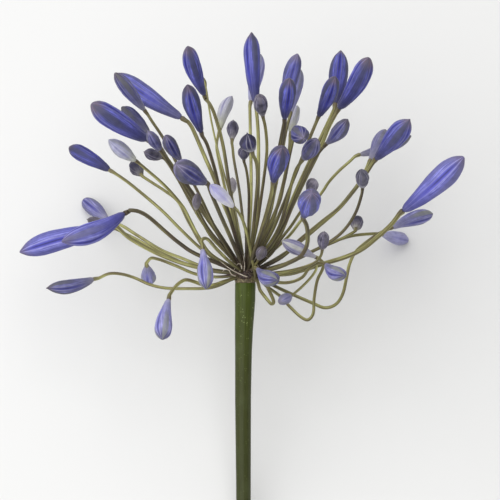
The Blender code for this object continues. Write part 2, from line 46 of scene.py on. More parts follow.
# The head is described as it grew, in mm from the hub: x across, y up along the scape, z towards the camera.
# This pose lays it down as the CAD does, on two buds and the rim of the cut end.
headPose = {"lean": 24.5, "hubAcross": 2.5, "hubAlong": 2.1, "scapeLength": 121.0, "endRadius": 3.1, "press": 0.1}
lean = math.radians(headPose["lean"])
hubHeight = headPose["scapeLength"] * math.sin(lean) + headPose["endRadius"] * math.cos(lean) - headPose["press"]
hub = Vector((headPose["hubAcross"], headPose["hubAlong"], hubHeight)) * mm
headToRoom = Matrix.Translation(hub) @ Matrix.Rotation(lean, 4, "X")
leafWax = 1.42  # IOR of the wax on fresh plant skin
smoothly = {"interpolation_type": "SMOOTHSTEP"}  # for a range that eases in and out


def linear(code):
    # sRGB hex to the linear colour that a node takes
    channels = [int(code[start:start + 2], 16) / 255 for start in (1, 3, 5)]
    return tuple(c / 12.92 if c <= 0.04045 else ((c + 0.055) / 1.055) ** 2.4 for c in channels) + (1.0,)


def setInputs(node, inputs):
    # an input is a node, one socket of a node or a plain value, and None leaves it as it is
    for socket, value in (inputs.items() if isinstance(inputs, dict) else enumerate(inputs)):
        if isinstance(value, bpy.types.Node):
            value = next(out for out in value.outputs if out.enabled)
        if isinstance(value, bpy.types.NodeSocket):
            node.id_data.links.new(value, node.inputs[socket])
        elif value is not None:
            node.inputs[socket].default_value = value


def addNode(tree, kind, inputs=(), ramp=None, **settings):
    # a kind in capitals is a math operation, one may have its operation behind it, and most are shader nodes
    kind, _, operation = ("Math " + kind if kind.isupper() else kind).partition(" ")
    node = tree.nodes.new(kind if kind.startswith(("Geometry", "NodeGroup")) else "ShaderNode" + kind)
    if operation:
        node.operation = operation
    for name, value in settings.items():
        setattr(node, name, value)
    if ramp:
        stops = node.color_ramp.elements
        stops[0].position, stops[0].color = ramp[0][0], linear(ramp[0][1])
        stops[1].position, stops[1].color = ramp[-1][0], linear(ramp[-1][1])
        for place, code in ramp[1:-1]:
            stops.new(place).color = linear(code)
    setInputs(node, inputs)
    return node


def newTree(name, **sockets):
    tree = bpy.data.node_groups.new(name, "GeometryNodeTree")
    for side in ("INPUT", "OUTPUT"):
        tree.interface.new_socket("Geometry", in_out=side, socket_type="NodeSocketGeometry")
    for kind, labels in sockets.items():
        for label, value in labels.items():
            socket = tree.interface.new_socket(label, in_out="INPUT", socket_type="NodeSocket" + kind)
            if value is not None:
                socket.default_value = value
    return tree


def newMaterial(name):
    made = bpy.data.materials.new(name)
    made.use_nodes = True
    return made, partial(addNode, made.node_tree), made.node_tree.nodes["Principled BSDF"]


def addObject(name, data):
    made = bpy.data.objects.new(name, data)
    bpy.context.scene.collection.objects.link(made)
    return made


def bakePiece(name, tree, values, start=None):
    # runs the tree on the start mesh, keeps the result as a plain mesh
    piece = addObject(name, start or bpy.data.meshes.new(name + "Start"))
    modifier = piece.modifiers.new("shape", "NODES")
    modifier.node_group = tree
    for item in tree.interface.items_tree:
        if item.in_out == "INPUT" and item.name in values:
            modifier[item.identifier] = values[item.name]
    bpy.context.view_layer.update()
    shaped = piece.evaluated_get(bpy.context.evaluated_depsgraph_get())
    baked = bpy.data.meshes.new_from_object(shaped)
    baked.name = name
    piece.modifiers.clear()
    piece.data = baked
    return piece


def carvePiece(name, body, skin):
    # keeps a bmesh, which is in the head's own frame, as a piece in the room
    mesh = bpy.data.meshes.new(name)
    body.to_mesh(mesh)
    body.free()
    mesh.shade_smooth()
    mesh.transform(headToRoom)
    mesh.materials.append(skin)
    return addObject(name, mesh)


def keepAboveFloor(piece):
    # what the head rests on is pressed flat, as in the CAD
    for corner in piece.data.vertices:
        corner.co.z = max(corner.co.z, 0.0)


# Buds, with the places, widths and stalks that the CAD has, in mm and degrees. Each row gives the kind, tip, base,
# greatest width, bow to one side, roll, how sharp the tip is, the petal finish, how strong the stripe on its midribs
# is, how dark the bud is (pale below 0; partly its own colour, partly painted shade and painted light), how green
# its stalk is (darker and browner when low, partly its own colour, partly painted shade), the stalk's way from the
# knob, and the outline of a bud that differs from its kind. A way point with no third value takes its depth from how
# far along it lies.
oneBud = namedtuple("oneBud", "kind tip base width bow roll point look dull shade green way own", defaults=({},))
budRows = {
    "01": ("ripe", (-100.3, 10.9, -14), (-58.7, 21.6, -8), 9.8, 0.95, 60, 0.66, "bright", 0.2, 0.0, 0.6,
           [(-20.2, 4), (-35.6, 8.8), (-50.2, 16.3)], {"Fullest": 0.72, "Swell": 1.0}),
    "02": ("ripe", (-80.2, 15.4, 30), (-52.8, 28.1, 10), 9.3, -1.9, 8, 0.66, "bright", 0.8, 0.0, 0.1,
           [(-21.1, 9.7), (-29, 14.7), (-35.6, 20.2), (-42.2, 26), (-46.6, 28.6), (-50.4, 29.3)],
           {"Fullest": 0.62, "Swell": 1.3}),
    "03": ("halfRipe", (-73.7, 34.6, -73), (-62.1, 25.4, -57), 7.0, 0.0, 60, 0.52, "lilac", 0.4, 0.21, 0.9,
           [(-16, 3.5), (-28, 8), (-37.8, 11.9), (-48.8, 18.5), (-55.4, 22.6)]),
    "04": ("young", (-71.2, 25.7, -33), (-63.1, 23.2, -24), 4.4, 0.0, 0, 0.8, "mauve", 0.6, 0.16, 0.5,
           [(-18, 3), (-35, 9.5), (-50, 17.5)]),
    "05": ("halfRipe", (-87.7, -4.9, 12), (-66.3, -0.8, 6), 6.3, -1.15, 45, 0.84, "dusky", 0.7, 0.14, 0.55,
           [(-6, -1), (-15, -4.6), (-26.8, -5.1), (-35.6, -4.8), (-42.2, -3.3), (-48.8, -0.4), (-54.6, 1.3),
            (-60, 1.5)], {"Swell": 0.95}),
    "06": ("halfRipe", (-43.1, -2.7, -33), (-44.1, 5, -22), 6.7, 0.0, -50, 0.48, "lilac", 0.8, -0.1, 0.55,
           [(-13.6, 0), (-22.4, 1.3), (-29.9, 4.4), (-35.6, 6.7), (-39.4, 7.9), (-42.2, 8.2)],
           {"Fullest": 0.7, "Swell": 1.3}),
    "07": ("halfRipe", (-36.3, -27, 38), (-33.6, -9.2, 24), 7.7, 0.5, -15, 0.62, "lilac", 0.9, -0.06, 0.6,
           [(-9.2, -1.8), (-14.5, -3.5), (-18.9, -3.3), (-25.5, -1.2), (-28.8, -2.3), (-31.4, -4.9)],
           {"Fullest": 0.76, "Swell": 1.65}),
    "08": ("halfRipe", (-17.1, -4.9, 56), (-18.8, 12.7, 46.5), 7.1, -0.3, -35, 0.5, "lilac", 0.9, 0.0, 0.6,
           [(-7, 6.6, 12), (-12.8, 12.3, 26), (-16.3, 16.3, 36), (-18.4, 16.8, 42), (-19.3, 15, 45)], {"Swell": 2.2}),
    "09": ("ripe", (-67, 75.3, 32), (-42.6, 59.9, 14), 9.8, -0.5, -5, 0.42, "violet", 0.9, -0.03, 0.1,
           [(-10.6, 16.3), (-18, 28.5), (-24.6, 38.3), (-31.2, 47.1), (-36.5, 54.3)], {"Fullest": 0.7, "Swell": 1.0}),
    "10": ("halfRipe", (-57.5, 89.5, 12), (-44.4, 73, 2), 6.3, 0.0, 10, 0.5, "dusky", 0.9, 0.08, 0.25,
           [(-9, 15), (-17.5, 28), (-24.6, 38.5), (-31.5, 52), (-36.5, 61.2), (-41.4, 68.6)]),
    "11": ("ripe", (-58.5, 90.5, -24), (-27.9, 69.9, -12), 9.1, -0.65, 60, 0.7, "violet", 0.2, -0.15, 0.5,
           [(-6.2, 22.9), (-10.6, 33.9), (-14.1, 43.6), (-18.5, 53.7), (-23.2, 64.6), (-25.4, 68.2)]),
    "12": ("halfRipe", (-55, 75.1, -8), (-42.4, 63.4, -3), 6.5, 0.0, 0, 0.52, "dusky", 0.8, 0.43, 0.3,
           [(-10, 15.5), (-18.5, 27.5), (-26, 38.5), (-33, 49.5), (-38, 58)]),
    "13": ("white", (-60.1, 60.1, 17), (-48.2, 50.9, 6), 6.4, 0.0, 40, 0.66, "blueCream", 0.7, -0.28, 0.6,
           [(-15, 9.7), (-20.7, 17.6), (-23.8, 23.3), (-26.4, 28.6), (-29, 32.6), (-36.5, 40.9)], {"Fullest": 0.58}),
    "14": ("young", (-51.3, 51.4, -36), (-46.5, 45.3, -25), 6.1, 0.0, 0, 0.8, "navy", 0.5, 0.5, 0.45,
           [(-15.5, 9), (-24.6, 22.9), (-29.9, 33), (-35.6, 37.8), (-41.4, 41.6)], {"Swell": 1.4}),
    "15": ("young", (-42.7, 63.8, 38), (-37.4, 55.4, 27), 5.3, 0.0, 40, 0.75, "indigo", 0.6, -0.1, 0.15,
           [(-10.6, 14), (-16.7, 21.6), (-22.4, 31.7), (-29, 42.7), (-34.3, 50.6)]),
    "16": ("young", (-44.9, 54.8, 24), (-37.1, 52.4, 14), 5.1, 0.0, 20, 0.95, "navy", 0.6, -0.08, 0.2,
           [(-11.4, 13.6), (-17.6, 21.6), (-22.8, 29.9), (-29, 41.4), (-34, 49.6)]),
    "17": ("halfRipe", (-34.9, 61.6, 43), (-28.4, 50.9, 30), 6.1, -0.4, 60, 0.62, "indigo", 0.8, 0.11, 0.15,
           [(-7.9, 11.9), (-14.1, 22.9), (-18.9, 33), (-22.4, 40), (-26, 47.1)]),
    "18": ("ripe", (-29.8, 48.6, 62), (-17.2, 40.9, 43), 9.7, -0.4, 60, 0.5, "indigo", 0.7, -0.03, 0.2,
           [(-3.5, 9.7), (-7, 18), (-10.6, 26), (-13.6, 33), (-15.4, 37.4)], {"Swell": 1.5}),
    "19": ("ripe", (-25.5, 100.7, 22), (-18.2, 79.5, 4), 7.6, -0.7, 5, 0.52, "violet", 0.9, -0.01, 0.3,
           [(-3.5, 15), (-4.8, 24), (-6.6, 35), (-9.9, 56.8), (-13.4, 70.2), (-15.8, 75.8)],
           {"Fullest": 0.7, "Swell": 1.35}),
    "20": ("ripe", (-25.2, 82.9, 56), (-19.3, 62.6, 36), 7.7, -0.4, 52, 0.52, "violet", 0.9, 0.19, 0.05,
           [(-7, 26), (-9.7, 33.9), (-12.1, 40.9), (-13.6, 47.1), (-16.7, 57.2)], {"Swell": 1.5}),
    "21": ("white", (-6.3, 81.4, -62), (-11.8, 65.6, -48), 5.7, -1.1, 30, 0.72, "paleLilac", 0.5, 0.1, 0.6,
           [(-3.5, 14), (-6.5, 27), (-9.5, 40), (-12, 51), (-13.2, 58.5)], {"Fullest": 0.66, "Swell": 0.95}),
    "22": ("young", (-5.7, 70, -31), (-6.2, 60.6, -22), 5.3, 0.05, 10, 0.68, "navy", 0.6, -0.09, 0.25,
           [(0, 18.5), (-1.3, 25), (-3, 38.3), (-5.3, 51.5), (-5.9, 56.8)], {"Fullest": 0.6, "Swell": 1.9}),
    "23": ("young", (0.4, 62.8, 53), (2.6, 54.5, 48), 7.3, -0.8, 60, 0.95, "capped", 0.4, 0.0, 0.3,
           [(2.6, 16.3), (4.4, 33.9), (5, 42.7), (4.6, 49.3)]),
    "24": ("young", (-1, 57, 35), (-0.9, 51.6, 29), 5.0, 0.0, 0, 0.85, "navy", 0.5, -0.07, 0.1,
           [(0.9, 18.5), (1.3, 33.9), (0.9, 41.8), (0.1, 47.1)]),
    "25": ("ripe", (2.4, 108.1, -7), (4.4, 75.7, 0), 7.6, -0.4, 22, 0.68, "violet", 1.0, 0.04, 0.8,
           [(4.4, 25), (5.3, 38.3), (5.5, 55.9), (5.2, 66)], {"Fullest": 0.72, "Swell": 1.1}),
    "26": ("halfRipe", (6.4, 99.5, -40), (2, 77.4, -28), 6.6, 0.0, 0, 0.52, "lilac", 0.7, -0.18, 0.95,
           [(2.2, 33.9), (1.9, 64.7)]),
    "27": ("young", (5.7, 79.2, 50), (7.3, 70.2, 38), 6.2, -0.1, 0, 0.55, "navy", 0.4, -0.16, 0.3,
           [(4.4, 20.7), (6.2, 31.7), (8.6, 49.3), (9.1, 57), (8.5, 64.5)], {"Swell": 1.4}),
    "28": ("ripe", (18.8, 86.1, 48), (16.8, 68.7, 28), 7.5, -0.1, -50, 0.66, "violet", 1.0, 0.04, 0.1,
           [(10.6, 31.7), (13.2, 49.3), (15, 59)], {"Fullest": 0.7, "Swell": 1.2}),
    "29": ("ripe", (22.5, 97.7, 18), (18, 75.7, 0), 7.2, -0.9, -58, 0.6, "violet", 0.6, -0.19, 0.15,
           [(10.9, 33), (14.1, 50), (16.5, 62)]),
    "30": ("halfRipe", (24.2, 92.8, -40), (19.8, 72.6, -27), 5.9, 0.0, 30, 0.52, "lilac", 0.6, 0.16, 0.4,
           [(9.7, 25), (12.8, 38.3), (15.4, 51.5), (17.8, 64.7)]),
    "31": ("white", (23.1, 76.9, -60), (19.9, 64.1, -47), 5.0, -0.3, 25, 0.55, "paleLilac", 0.9, 0.11, 0.4,
           [(11.4, 22.9), (14.5, 33.9), (17.2, 44.9), (19.2, 57)]),
    "32": ("young", (24.7, 60, 56), (21.5, 63.6, 42), 7.9, 0.0, 0, 0.55, "indigo", 0.9, 0.0, 0.25,
           [(13.2, 29.5), (16.3, 40.5), (18.5, 51.5), (19.9, 58)], {"Swell": 1.4}),
    "33": ("young", (30.8, 59.9, 46), (25.2, 51.7, 31), 7.0, 0.3, 0, 0.6, "indigo", 0.9, -0.08, 0.3,
           [(12.8, 18.5), (17.6, 31.7), (19.8, 40.5), (22, 47.1)]),
    "34": ("ripe", (15.5, 55.8, 68), (11.8, 41.2, 46), 9.1, -0.2, 30, 0.5, "violet", 1.0, 0.05, 0.35,
           [(3.5, 11), (5.7, 17.2), (8.8, 27.3), (11, 36)], {"Swell": 1.6}),
    "35": ("ripe", (42.1, 100.7, -25), (39.3, 75.9, -11), 8.5, 0.2, 58, 0.66, "violet", 0.9, 0.26, 0.45,
           [(12.8, 16.3), (19.4, 31.7), (24.6, 43.6), (30.4, 55.9), (35.4, 66.4)], {"Fullest": 0.62, "Swell": 1.1}),
    "36": ("ripe", (38.7, 87, 36), (31.7, 70.1, 16), 7.0, 0.4, -45, 0.5, "violet", 0.9, 0.15, 0.3,
           [(10.6, 18.5), (16.3, 31.7), (21.1, 43.6), (25.1, 53.7), (28.2, 61.6)]),
    "37": ("ripe", (53.9, 95.8, 16), (40.6, 73.7, 0), 8.7, 1.2, 5, 0.42, "violet", 0.7, 0.06, 0.65,
           [(13, 15), (20.2, 30.8), (26, 43), (32, 55), (36.2, 65.4)], {"Fullest": 0.7, "Swell": 1.0}),
    "38": ("halfRipe", (44.3, 68.7, 34), (35.1, 58.2, 21), 6.7, 0.7, 50, 0.66, "dusky", 0.6, 0.1, 0.15,
           [(15, 19.8), (20.2, 31.7), (24.6, 41.4), (29, 50.2), (32.4, 55.2)], {"Fullest": 0.62, "Swell": 1.5}),
    "39": ("ripe", (28.1, 36.2, 74), (24.8, 26.3, 50), 9.9, 0.5, 35, 0.5, "violet", 1.0, -0.14, 0.3,
           [(12.8, 4), (19.4, 6.6), (23.8, 9.2), (26.2, 13.2), (26.8, 17.6), (26.2, 22.4)],
           {"Fullest": 0.64, "Swell": 2.2}),
    "40": ("young", (29.4, 43.3, 15), (27.7, 34.9, 5), 5.6, 0.2, 0, 0.66, "navy", 0.6, -0.4, 0.35,
           [(10.6, 9.7), (15.4, 16.7), (19.8, 22.4), (24.2, 29)], {"Fullest": 0.7, "Swell": 1.7}),
    "41": ("halfRipe", (62.3, 65.6, -34), (54.8, 51.4, -19), 5.9, -0.2, 0, 0.52, "dusky", 0.6, -0.23, 0.75,
           [(14, 8.5), (23.8, 15.4), (33.4, 23.3), (40.5, 29.5), (46.6, 36.5), (51.2, 43.7)], {"Swell": 1.7}),
    "42": ("ripe", (71.7, 69.1, 20), (56.8, 51.5, 2), 9.2, 0.2, 5, 0.8, "violet", 1.0, -0.07, 0.45,
           [(15, 8.4), (23.8, 16.3), (33.4, 24.2), (40.5, 29.9), (46.6, 37), (51.9, 44.2)], {"Swell": 1.5}),
    "43": ("halfRipe", (74.3, 63.2, -52), (50.2, 54.3, -38), 5.9, 1.1, 30, 0.6, "dusky", 0.8, -0.05, 0.85,
           [(17.2, 16.3), (23.8, 24.2), (33.4, 37), (37, 42.3), (41.4, 47.1), (46, 51.2)]),
    "44": ("young", (50.1, 47.2, 31), (50.8, 39.6, 20), 6.0, 0.3, 10, 0.8, "capped", 0.5, -0.15, 0.2,
           [(19.4, 6.6), (30.4, 11.9), (39.2, 17.2), (44.4, 22.4), (48.2, 28.8), (50.4, 35.6)],
           {"Fullest": 0.52, "Swell": 0.8}),
    "45": ("ripe", (94.8, 52.4, 30), (68.2, 28.6, 15), 10.3, 0.7, 55, 0.53, "bright", 0.5, -0.04, 0.6,
           [(17.2, 1.3), (25.1, 3.1), (33.4, 5.7), (43.6, 8.8), (51, 12.3), (58.1, 18), (63.4, 22.9)],
           {"Fullest": 0.7, "Swell": 1.15}),
    "46": ("ripe", (83.3, 28.1, -36), (64.2, 21.6, -16), 6.8, -0.7, -20, 0.56, "lilac", 0.9, 0.14, 0.65,
           [(6, -0.8), (17.2, -6.2), (29, -11.4), (34.8, -13.6), (39.6, -12.1), (42.7, -7.5), (44.4, -0.4),
            (45.8, 5.7), (48.4, 11), (52.8, 15), (58.1, 18.7)], {"Swell": 1.7}),
    "47": ("halfRipe", (73.3, 16, -65.6), (60.8, 19, -49.6), 6.1, 0.0, 60, 0.66, "lilac", 0.5, -0.41, 0.6,
           [(12.8, 4), (23.8, 8.8), (34.8, 13.6), (42.2, 16.7), (48, 18.3), (54.1, 19)]),
    "48": ("young", (50.6, 26.9, -45), (49, 21.3, -35), 5.6, -0.2, 0, 0.7, "navy", 0.6, -0.04, 0.5,
           [(19.4, 6.6), (30.4, 11.9), (39.2, 15.4), (45.8, 18.6)]),
    "49": ("young", (33.9, 20.2, 45), (33.2, 12.6, 35), 5.3, 0.0, 30, 0.85, "navy", 0.6, -0.18, 0.5,
           [(15, 2.2), (23.8, 4), (29.9, 6.4), (32.4, 9.2)]),
    "50": ("halfRipe", (43.1, 0.8, 44), (34.6, 5.7, 30), 6.5, 1.3, -30, 0.6, "lilac", 0.9, 0.18, 0.55,
           [(7, -1), (15, -2.4), (20.2, -2), (24.6, 0), (27.3, 3.5), (31, 6)]),
    "51": ("white", (15.9, 15.7, 27), (30.8, 8.6, 14), 6.2, 0.0, 0, 0.5, "creamStripe", 1.0, -0.25, 0.6,
           [(6, -0.9), (9, -4), (15, -8.4), (19.4, -13.2), (24.2, -17.6), (27.3, -18.7), (29.5, -15.8), (29.9, -9.2),
            (31.2, -1.6), (33.4, 3.2), (33.9, 6)], {"Swell": 2.2}),
    "52": ("halfRipe", (13.8, -1.2, 39), (4.9, 3.8, 22), 7.1, 1.4, -30, 0.5, "lilac", 0.9, 0.2, 0.6,
           [(4.6, -1.2, 5.2), (6.2, -5.7, 8.5), (8.8, -9.2, 12), (11, -11.6, 15), (12.1, -10.6, 17), (10.2, -6, 18),
            (7.6, -1, 18.5), (5.4, 2.8, 19.6)], {"Swell": 1.9}),
    "53": ("young", (14, -11.1, 35), (19.5, -8.1, 26), 4.8, 0.0, 60, 0.7, "dusky", 0.7, -0.3, 0.65,
           [(12.8, 0.7), (23.8, 2.9), (28.6, 5.5), (30.8, 4.6), (29.5, 1.4), (25.5, -3.1)]),
    "54": ("young", (7.9, 13.4, 21), (5.6, 8, 12), 4.8, 0.0, 0, 0.6, "mauve", 0.6, -0.03, 0.4,
           [(3.4, 4.6, 6)]),
    "55": ("white", (-15.4, 40, 55), (-5.3, 30.4, 40), 5.8, 0.0, 60, 0.66, "violetCream", 0.5, -0.17, 0.75,
           [(3.8, -1.2, 4.4), (3.7, 2.6, 6.6), (2.2, 9.7, 10), (0.9, 17.2, 18), (-1.3, 24.6, 28), (-3.6, 28.8, 36)]),
    "56": ("young", (-6.2, 44.8, -64), (-6.4, 37.4, -55), 4.0, 0.0, 0, 0.6, "mauve", 0.4, -0.45, 0.7,
           [(-2, 14), (-4.2, 26)]),
    "57": ("young", (-20.9, 37.2, 38), (-21.7, 29.4, 30), 3.9, 0.0, 20, 0.9, "mauve", 0.6, -0.08, 0.35,
           [(-9.2, 11), (-15, 17.2), (-18.5, 22.9)]),
    "58": ("halfRipe", (-78.5, 57.5, -24), (-59.8, 46.9, -12), 6.8, 0.3, 0, 0.42, "violet", 0.6, 0.35, 0.55,
           [(-13.6, 8.4), (-20.2, 12.8), (-29, 21.1), (-37.8, 29.9), (-51, 40.9)], {"Fullest": 0.74, "Swell": 1.0}),
}
buds = {number: oneBud(*row) for number, row in budRows.items()}

# A bud so late that it is one with its stalk: a tiny green swelling, listed as (share of its length, of its width).
lateBud = {"tip": (-19.6, 88.6, -9), "base": (-17.9, 83.4, -8), "width": 2.6, "green": 0.8,
           "way": [(-2.2, 14.0), (-4.6, 25.0), (-7.0, 36.0), (-10.5, 48.5), (-13.6, 60.8), (-15.9, 72.0)],
           "rings": [(0.0, 0.45), (0.15, 0.7), (0.3, 0.9), (0.45, 1.0), (0.6, 0.96), (0.75, 0.8), (0.9, 0.5),
                     (1.0, 0.16)]}

# How each kind swells: its neck in shares of its largest radius, where along it is fullest, how late it swells, and
# the nib at its tip in mm.
budShapes = {
    "ripe": {"Neck": 0.32, "Fullest": 0.68, "Swell": 1.2, "Nib": 0.7},
    "halfRipe": {"Neck": 0.30, "Fullest": 0.66, "Swell": 1.2, "Nib": 0.6},
    "young": {"Neck": 0.36, "Fullest": 0.54, "Swell": 0.9, "Nib": 0.9},
    "white": {"Neck": 0.28, "Fullest": 0.62, "Swell": 1.1, "Nib": 0.4},
}
# The relief that all buds share, and how many corners lie round and along each.
budRelief = {"Ridge": 0.03, "Seam": 0.07, "Margin": 0.03, "Sides": 72, "Rings": 34}
# Rings crowd towards the tip, the foot rounds off, the nib starts late, and no bud is quite even.
budForm = {"crowding": 1.5, "footEnd": 0.07, "nibStart": 0.965, "bumpScale": 1.3, "uneven": 0.05, "weld": 0.002}


def makeBudTree():
    # a closed bud along z in mm: three outer tepals with a ridge each, the inner ones in the grooves between them
    tree = newTree("closedBud", Float={
        "Length": 20.0, "Width": 7.0, "Bow": 0.0, "Neck": 0.3, "Fullest": 0.65, "Swell": 1.2, "Point": 0.66,
        "Nib": 0.5, "Ridge": 0.03, "Seam": 0.07, "Margin": 0.03, "Roll": 0.0, "Dull": 0.5, "Shade": 0.0,
        "Seed": 0.0}, Int={"Sides": 72, "Rings": 34}, Material={"Petal": None})
    add = partial(addNode, tree)
    given = add("NodeGroupInput").outputs
    columns = add("ADD", [given["Sides"], 1.0])
    grid = add("GeometryNodeMeshGrid", [1.0, 1.0, columns, given["Rings"]])
    place = add("SeparateXYZ", [add("GeometryNodeInputPosition")])
    turn = add("MULTIPLY", [place.outputs["X"], math.tau])
    back = add("SUBTRACT", [0.5, place.outputs["Y"]])
    crowded = add("POWER", [back, budForm["crowding"]], use_clamp=True)
    along = add("SUBTRACT", [1.0, crowded], use_clamp=True)
    # the outline: a sine rise to the fullest place, then a rounded fall to the tip
    rising = add("DIVIDE", [along, given["Fullest"]], use_clamp=True)
    quarter = add("MULTIPLY", [rising, math.pi / 2])
    swell = add("POWER", [add("SINE", [quarter]), given["Swell"]])
    lower = add("Mix", [swell, None, given["Neck"], 1.0])
    past = add("MapRange", [along, given["Fullest"], 1.0])
    left = add("SUBTRACT", [1.0, add("POWER", [past, 2.0])], use_clamp=True)
    outline = add("MULTIPLY", [lower, add("POWER", [left, given["Point"]])])
    rounded = add("POWER", [add("MapRange", [along, 0.0, budForm["footEnd"]]), 0.5])
    # the relief: a low ridge on each midrib, a groove between two tepals and the step of a tepal's margin
    fromMidrib = add("SUBTRACT", [turn, given["Roll"]])
    lobe = add("COSINE", [add("MULTIPLY", [fromMidrib, 3.0])])
    ridgeHeight = add("MULTIPLY", [add("MAXIMUM", [lobe, 0.0]), given["Ridge"]])
    groove = add("POWER", [add("MapRange", [lobe, 0.0, -1.0]), 3.0])
    grooveDepth = add("MULTIPLY", [groove, given["Seam"]])
    step = add("MapRange", [lobe, -0.55, -0.85], **smoothly)
    stepDepth = add("MULTIPLY", [step, given["Margin"]])
    relief = add("SUBTRACT", [ridgeHeight, add("ADD", [grooveDepth, stepDepth])])
    led = add("ADD", [along, 0.1], use_clamp=True)
    fading = add("SINE", [add("MULTIPLY", [led, math.pi])])
    faded = add("MULTIPLY_ADD", [relief, fading, 1.0])
    plain = add("MULTIPLY", [outline, add("MULTIPLY", [given["Width"], 0.5])])
    footed = add("MULTIPLY", [plain, rounded])
    relieved = add("MULTIPLY", [footed, faded])
    cosine = add("COSINE", [turn])
    sine = add("SINE", [turn])
    lengthwise = add("MULTIPLY_ADD", [along, 2.2, given["Seed"]])
    spread = add("CombineXYZ", [cosine, sine, lengthwise])
    bumps = add("TexNoise", {"Vector": spread, "Scale": budForm["bumpScale"], "Detail": 2.0})
    uneven = add("MapRange", [bumps, 0.3, 0.7, 1 - budForm["uneven"], 1 + budForm["uneven"]])
    radius = add("MULTIPLY", [relieved, uneven])
    # the place of each corner, with the bow to one side and the small pointed nib
    arch = add("SINE", [add("MULTIPLY", [along, math.pi])])
    x = add("MULTIPLY", [cosine, radius])
    y = add("MULTIPLY_ADD", [sine, radius, add("MULTIPLY", [arch, given["Bow"]])])
    body = add("SUBTRACT", [given["Length"], given["Nib"]])
    peak = add("MapRange", [along, budForm["nibStart"], 1.0])
    nib = add("MULTIPLY", [add("POWER", [peak, 2.0]), given["Nib"]])
    spot = add("CombineXYZ", [x, y, add("MULTIPLY_ADD", [along, body, nib])])
    # the petal map runs round from the midrib and along the bud
    mapPlace = add("SeparateXYZ", [grid.outputs["UV Map"]])
    rolled = add("MULTIPLY_ADD", [given["Roll"], -1 / math.tau, 0.5])
    mapTurn = add("ADD", [mapPlace.outputs["X"], rolled])
    mapBack = add("SUBTRACT", [1.0, mapPlace.outputs["Y"]], use_clamp=True)
    mapAlong = add("SUBTRACT", [1.0, add("POWER", [mapBack, budForm["crowding"]])])
    mapSpot = add("CombineXYZ", [mapTurn, mapAlong, 0.0])
    shape = add("GeometryNodeStoreNamedAttribute", [grid, None, "petalMap", mapSpot], data_type="FLOAT2",
                domain="CORNER")
    # the shade stored here is partly the bud's own darkness and partly painted shade and painted light
    for label in ("Dull", "Shade", "Seed"):
        shape = add("GeometryNodeStoreNamedAttribute", [shape, None, label.lower(), given[label]])
    shaped = add("GeometryNodeSetPosition", [shape, None, spot])
    closed = add("GeometryNodeMergeByDistance", {"Geometry": shaped, "Distance": budForm["weld"]})
    smooth = add("GeometryNodeSetShadeSmooth", {"Geometry": closed})
    metres = add("GeometryNodeTransform", {"Geometry": smooth, "Scale": (mm, mm, mm)})
    real = add("GeometryNodeRealizeInstances", {"Geometry": metres})
    dressed = add("GeometryNodeSetMaterial", {"Geometry": real, "Material": given["Petal"]})
    add("NodeGroupOutput", [dressed])
    return tree


# Petal finishes, each a living tepal: a thin waxy skin over sap colour, so soft gloss, fine veins that run from neck
# to tip, a duller midrib and a paler margin. Each row gives five colours from the neck to the tip, then those of the
# glow on a tepal's flanks (their own brighter blue, partly a painted glow of light through the petal), midrib, inner
# tepal, veins and margin, and where they differ from most, how mottled the bud is and how strong its margins are low
# down and at the tip.
onePetal = namedtuple("onePetal", "length glow midrib inner line margin mottle lowMargin tipMargin",
                      defaults=(0.24, 0.2, 0.6))
petalRows = {
    "bright": (["#62618f", "#5b5ba6", "#6869c2", "#7071be", "#756b88"],
               "#a2a2f0", "#75738e", "#5959bc", "#302f60", "#b2b0ec"),
    "violet": (["#64638a", "#4b4b7e", "#5051a0", "#565896", "#76666f"],
               "#8386ee", "#4f5068", "#4648b4", "#22223e", "#9190c0"),
    "dusky": (["#aaa8b2", "#8b8aa6", "#6d6da0", "#5f5e84", "#5c505e"],
              "#9090c8", "#6f6f6c", "#5959a0", "#33314e", "#aba8c0"),
    "lilac": (["#b2afc4", "#a09fc6", "#8887c2", "#7372ae", "#585476"],
              "#b3b1ea", "#96988c", "#6766b8", "#3b3a5c", "#bab8dc"),
    "indigo": (["#a6a4b0", "#7b7994", "#535280", "#585880", "#877f9c"],
               "#6e6db2", "#605f66", "#40408a", "#252440", "#aeaac8", 0.4, 0.25),
    "navy": (["#c2bfb2", "#8f8b94", "#4c4962", "#3d3a54", "#6a6070"],
             "#605d86", "#4c4a54", "#403d62", "#1f1d2d", "#b3adba", 0.6, 0.45),
    "capped": (["#dcdade", "#c9c7d2", "#55536c", "#35344c", "#45435c"],
               "#55537e", "#45434f", "#3b3960", "#1f1d2d", "#c2bfca", 0.5, 0.45),
    "mauve": (["#b4b292", "#9c9794", "#7a737c", "#655e6a", "#62565c"],
              "#878194", "#6b6764", "#625b70", "#38323a", "#aaa4aa", 0.45, 0.4),
    "blueCream": (["#a3a56c", "#c9ccb0", "#bdbec8", "#8e8ec4", "#62618e"],
                  "#b9b8e2", "#8f9288", "#8a88c8", "#5d5c80", "#e6e6ee"),
    "violetCream": (["#d0cfd2", "#efeeef", "#eeedf1", "#6f69d0", "#5a54b4"],
                    "#dcdbf7", "#dcdcd4", "#b4b1e6", "#a5a2cc", "#f7f6f6", 0.24, 0.2, 0.0),
    "paleLilac": (["#b6b992", "#c8cab0", "#c2c2c6", "#a8a6c8", "#8a84a2"],
                  "#d6d5e2", "#9c9d92", "#a8a6c6", "#737180", "#e0e0e4"),
    "creamStripe": (["#cac6d0", "#c4c0cc", "#9a98bc", "#7472a6", "#5e5a74"],
                    "#a7a4d0", "#dadbc8", "#6664a0", "#3f3d5c", "#c6c3d4"),
}
# The patches of the mottling and the depth of a vein are in mm, the rest is counted round and along one bud.
petalPattern = {"veinsRound": 12.0, "veinsAlong": 0.35, "blotchesRound": 2.6, "veinDepth": 0.12, "mottling": 3.125,
                "roughest": 0.60, "smoothest": 0.46, "darkest": "#1c1a30"}


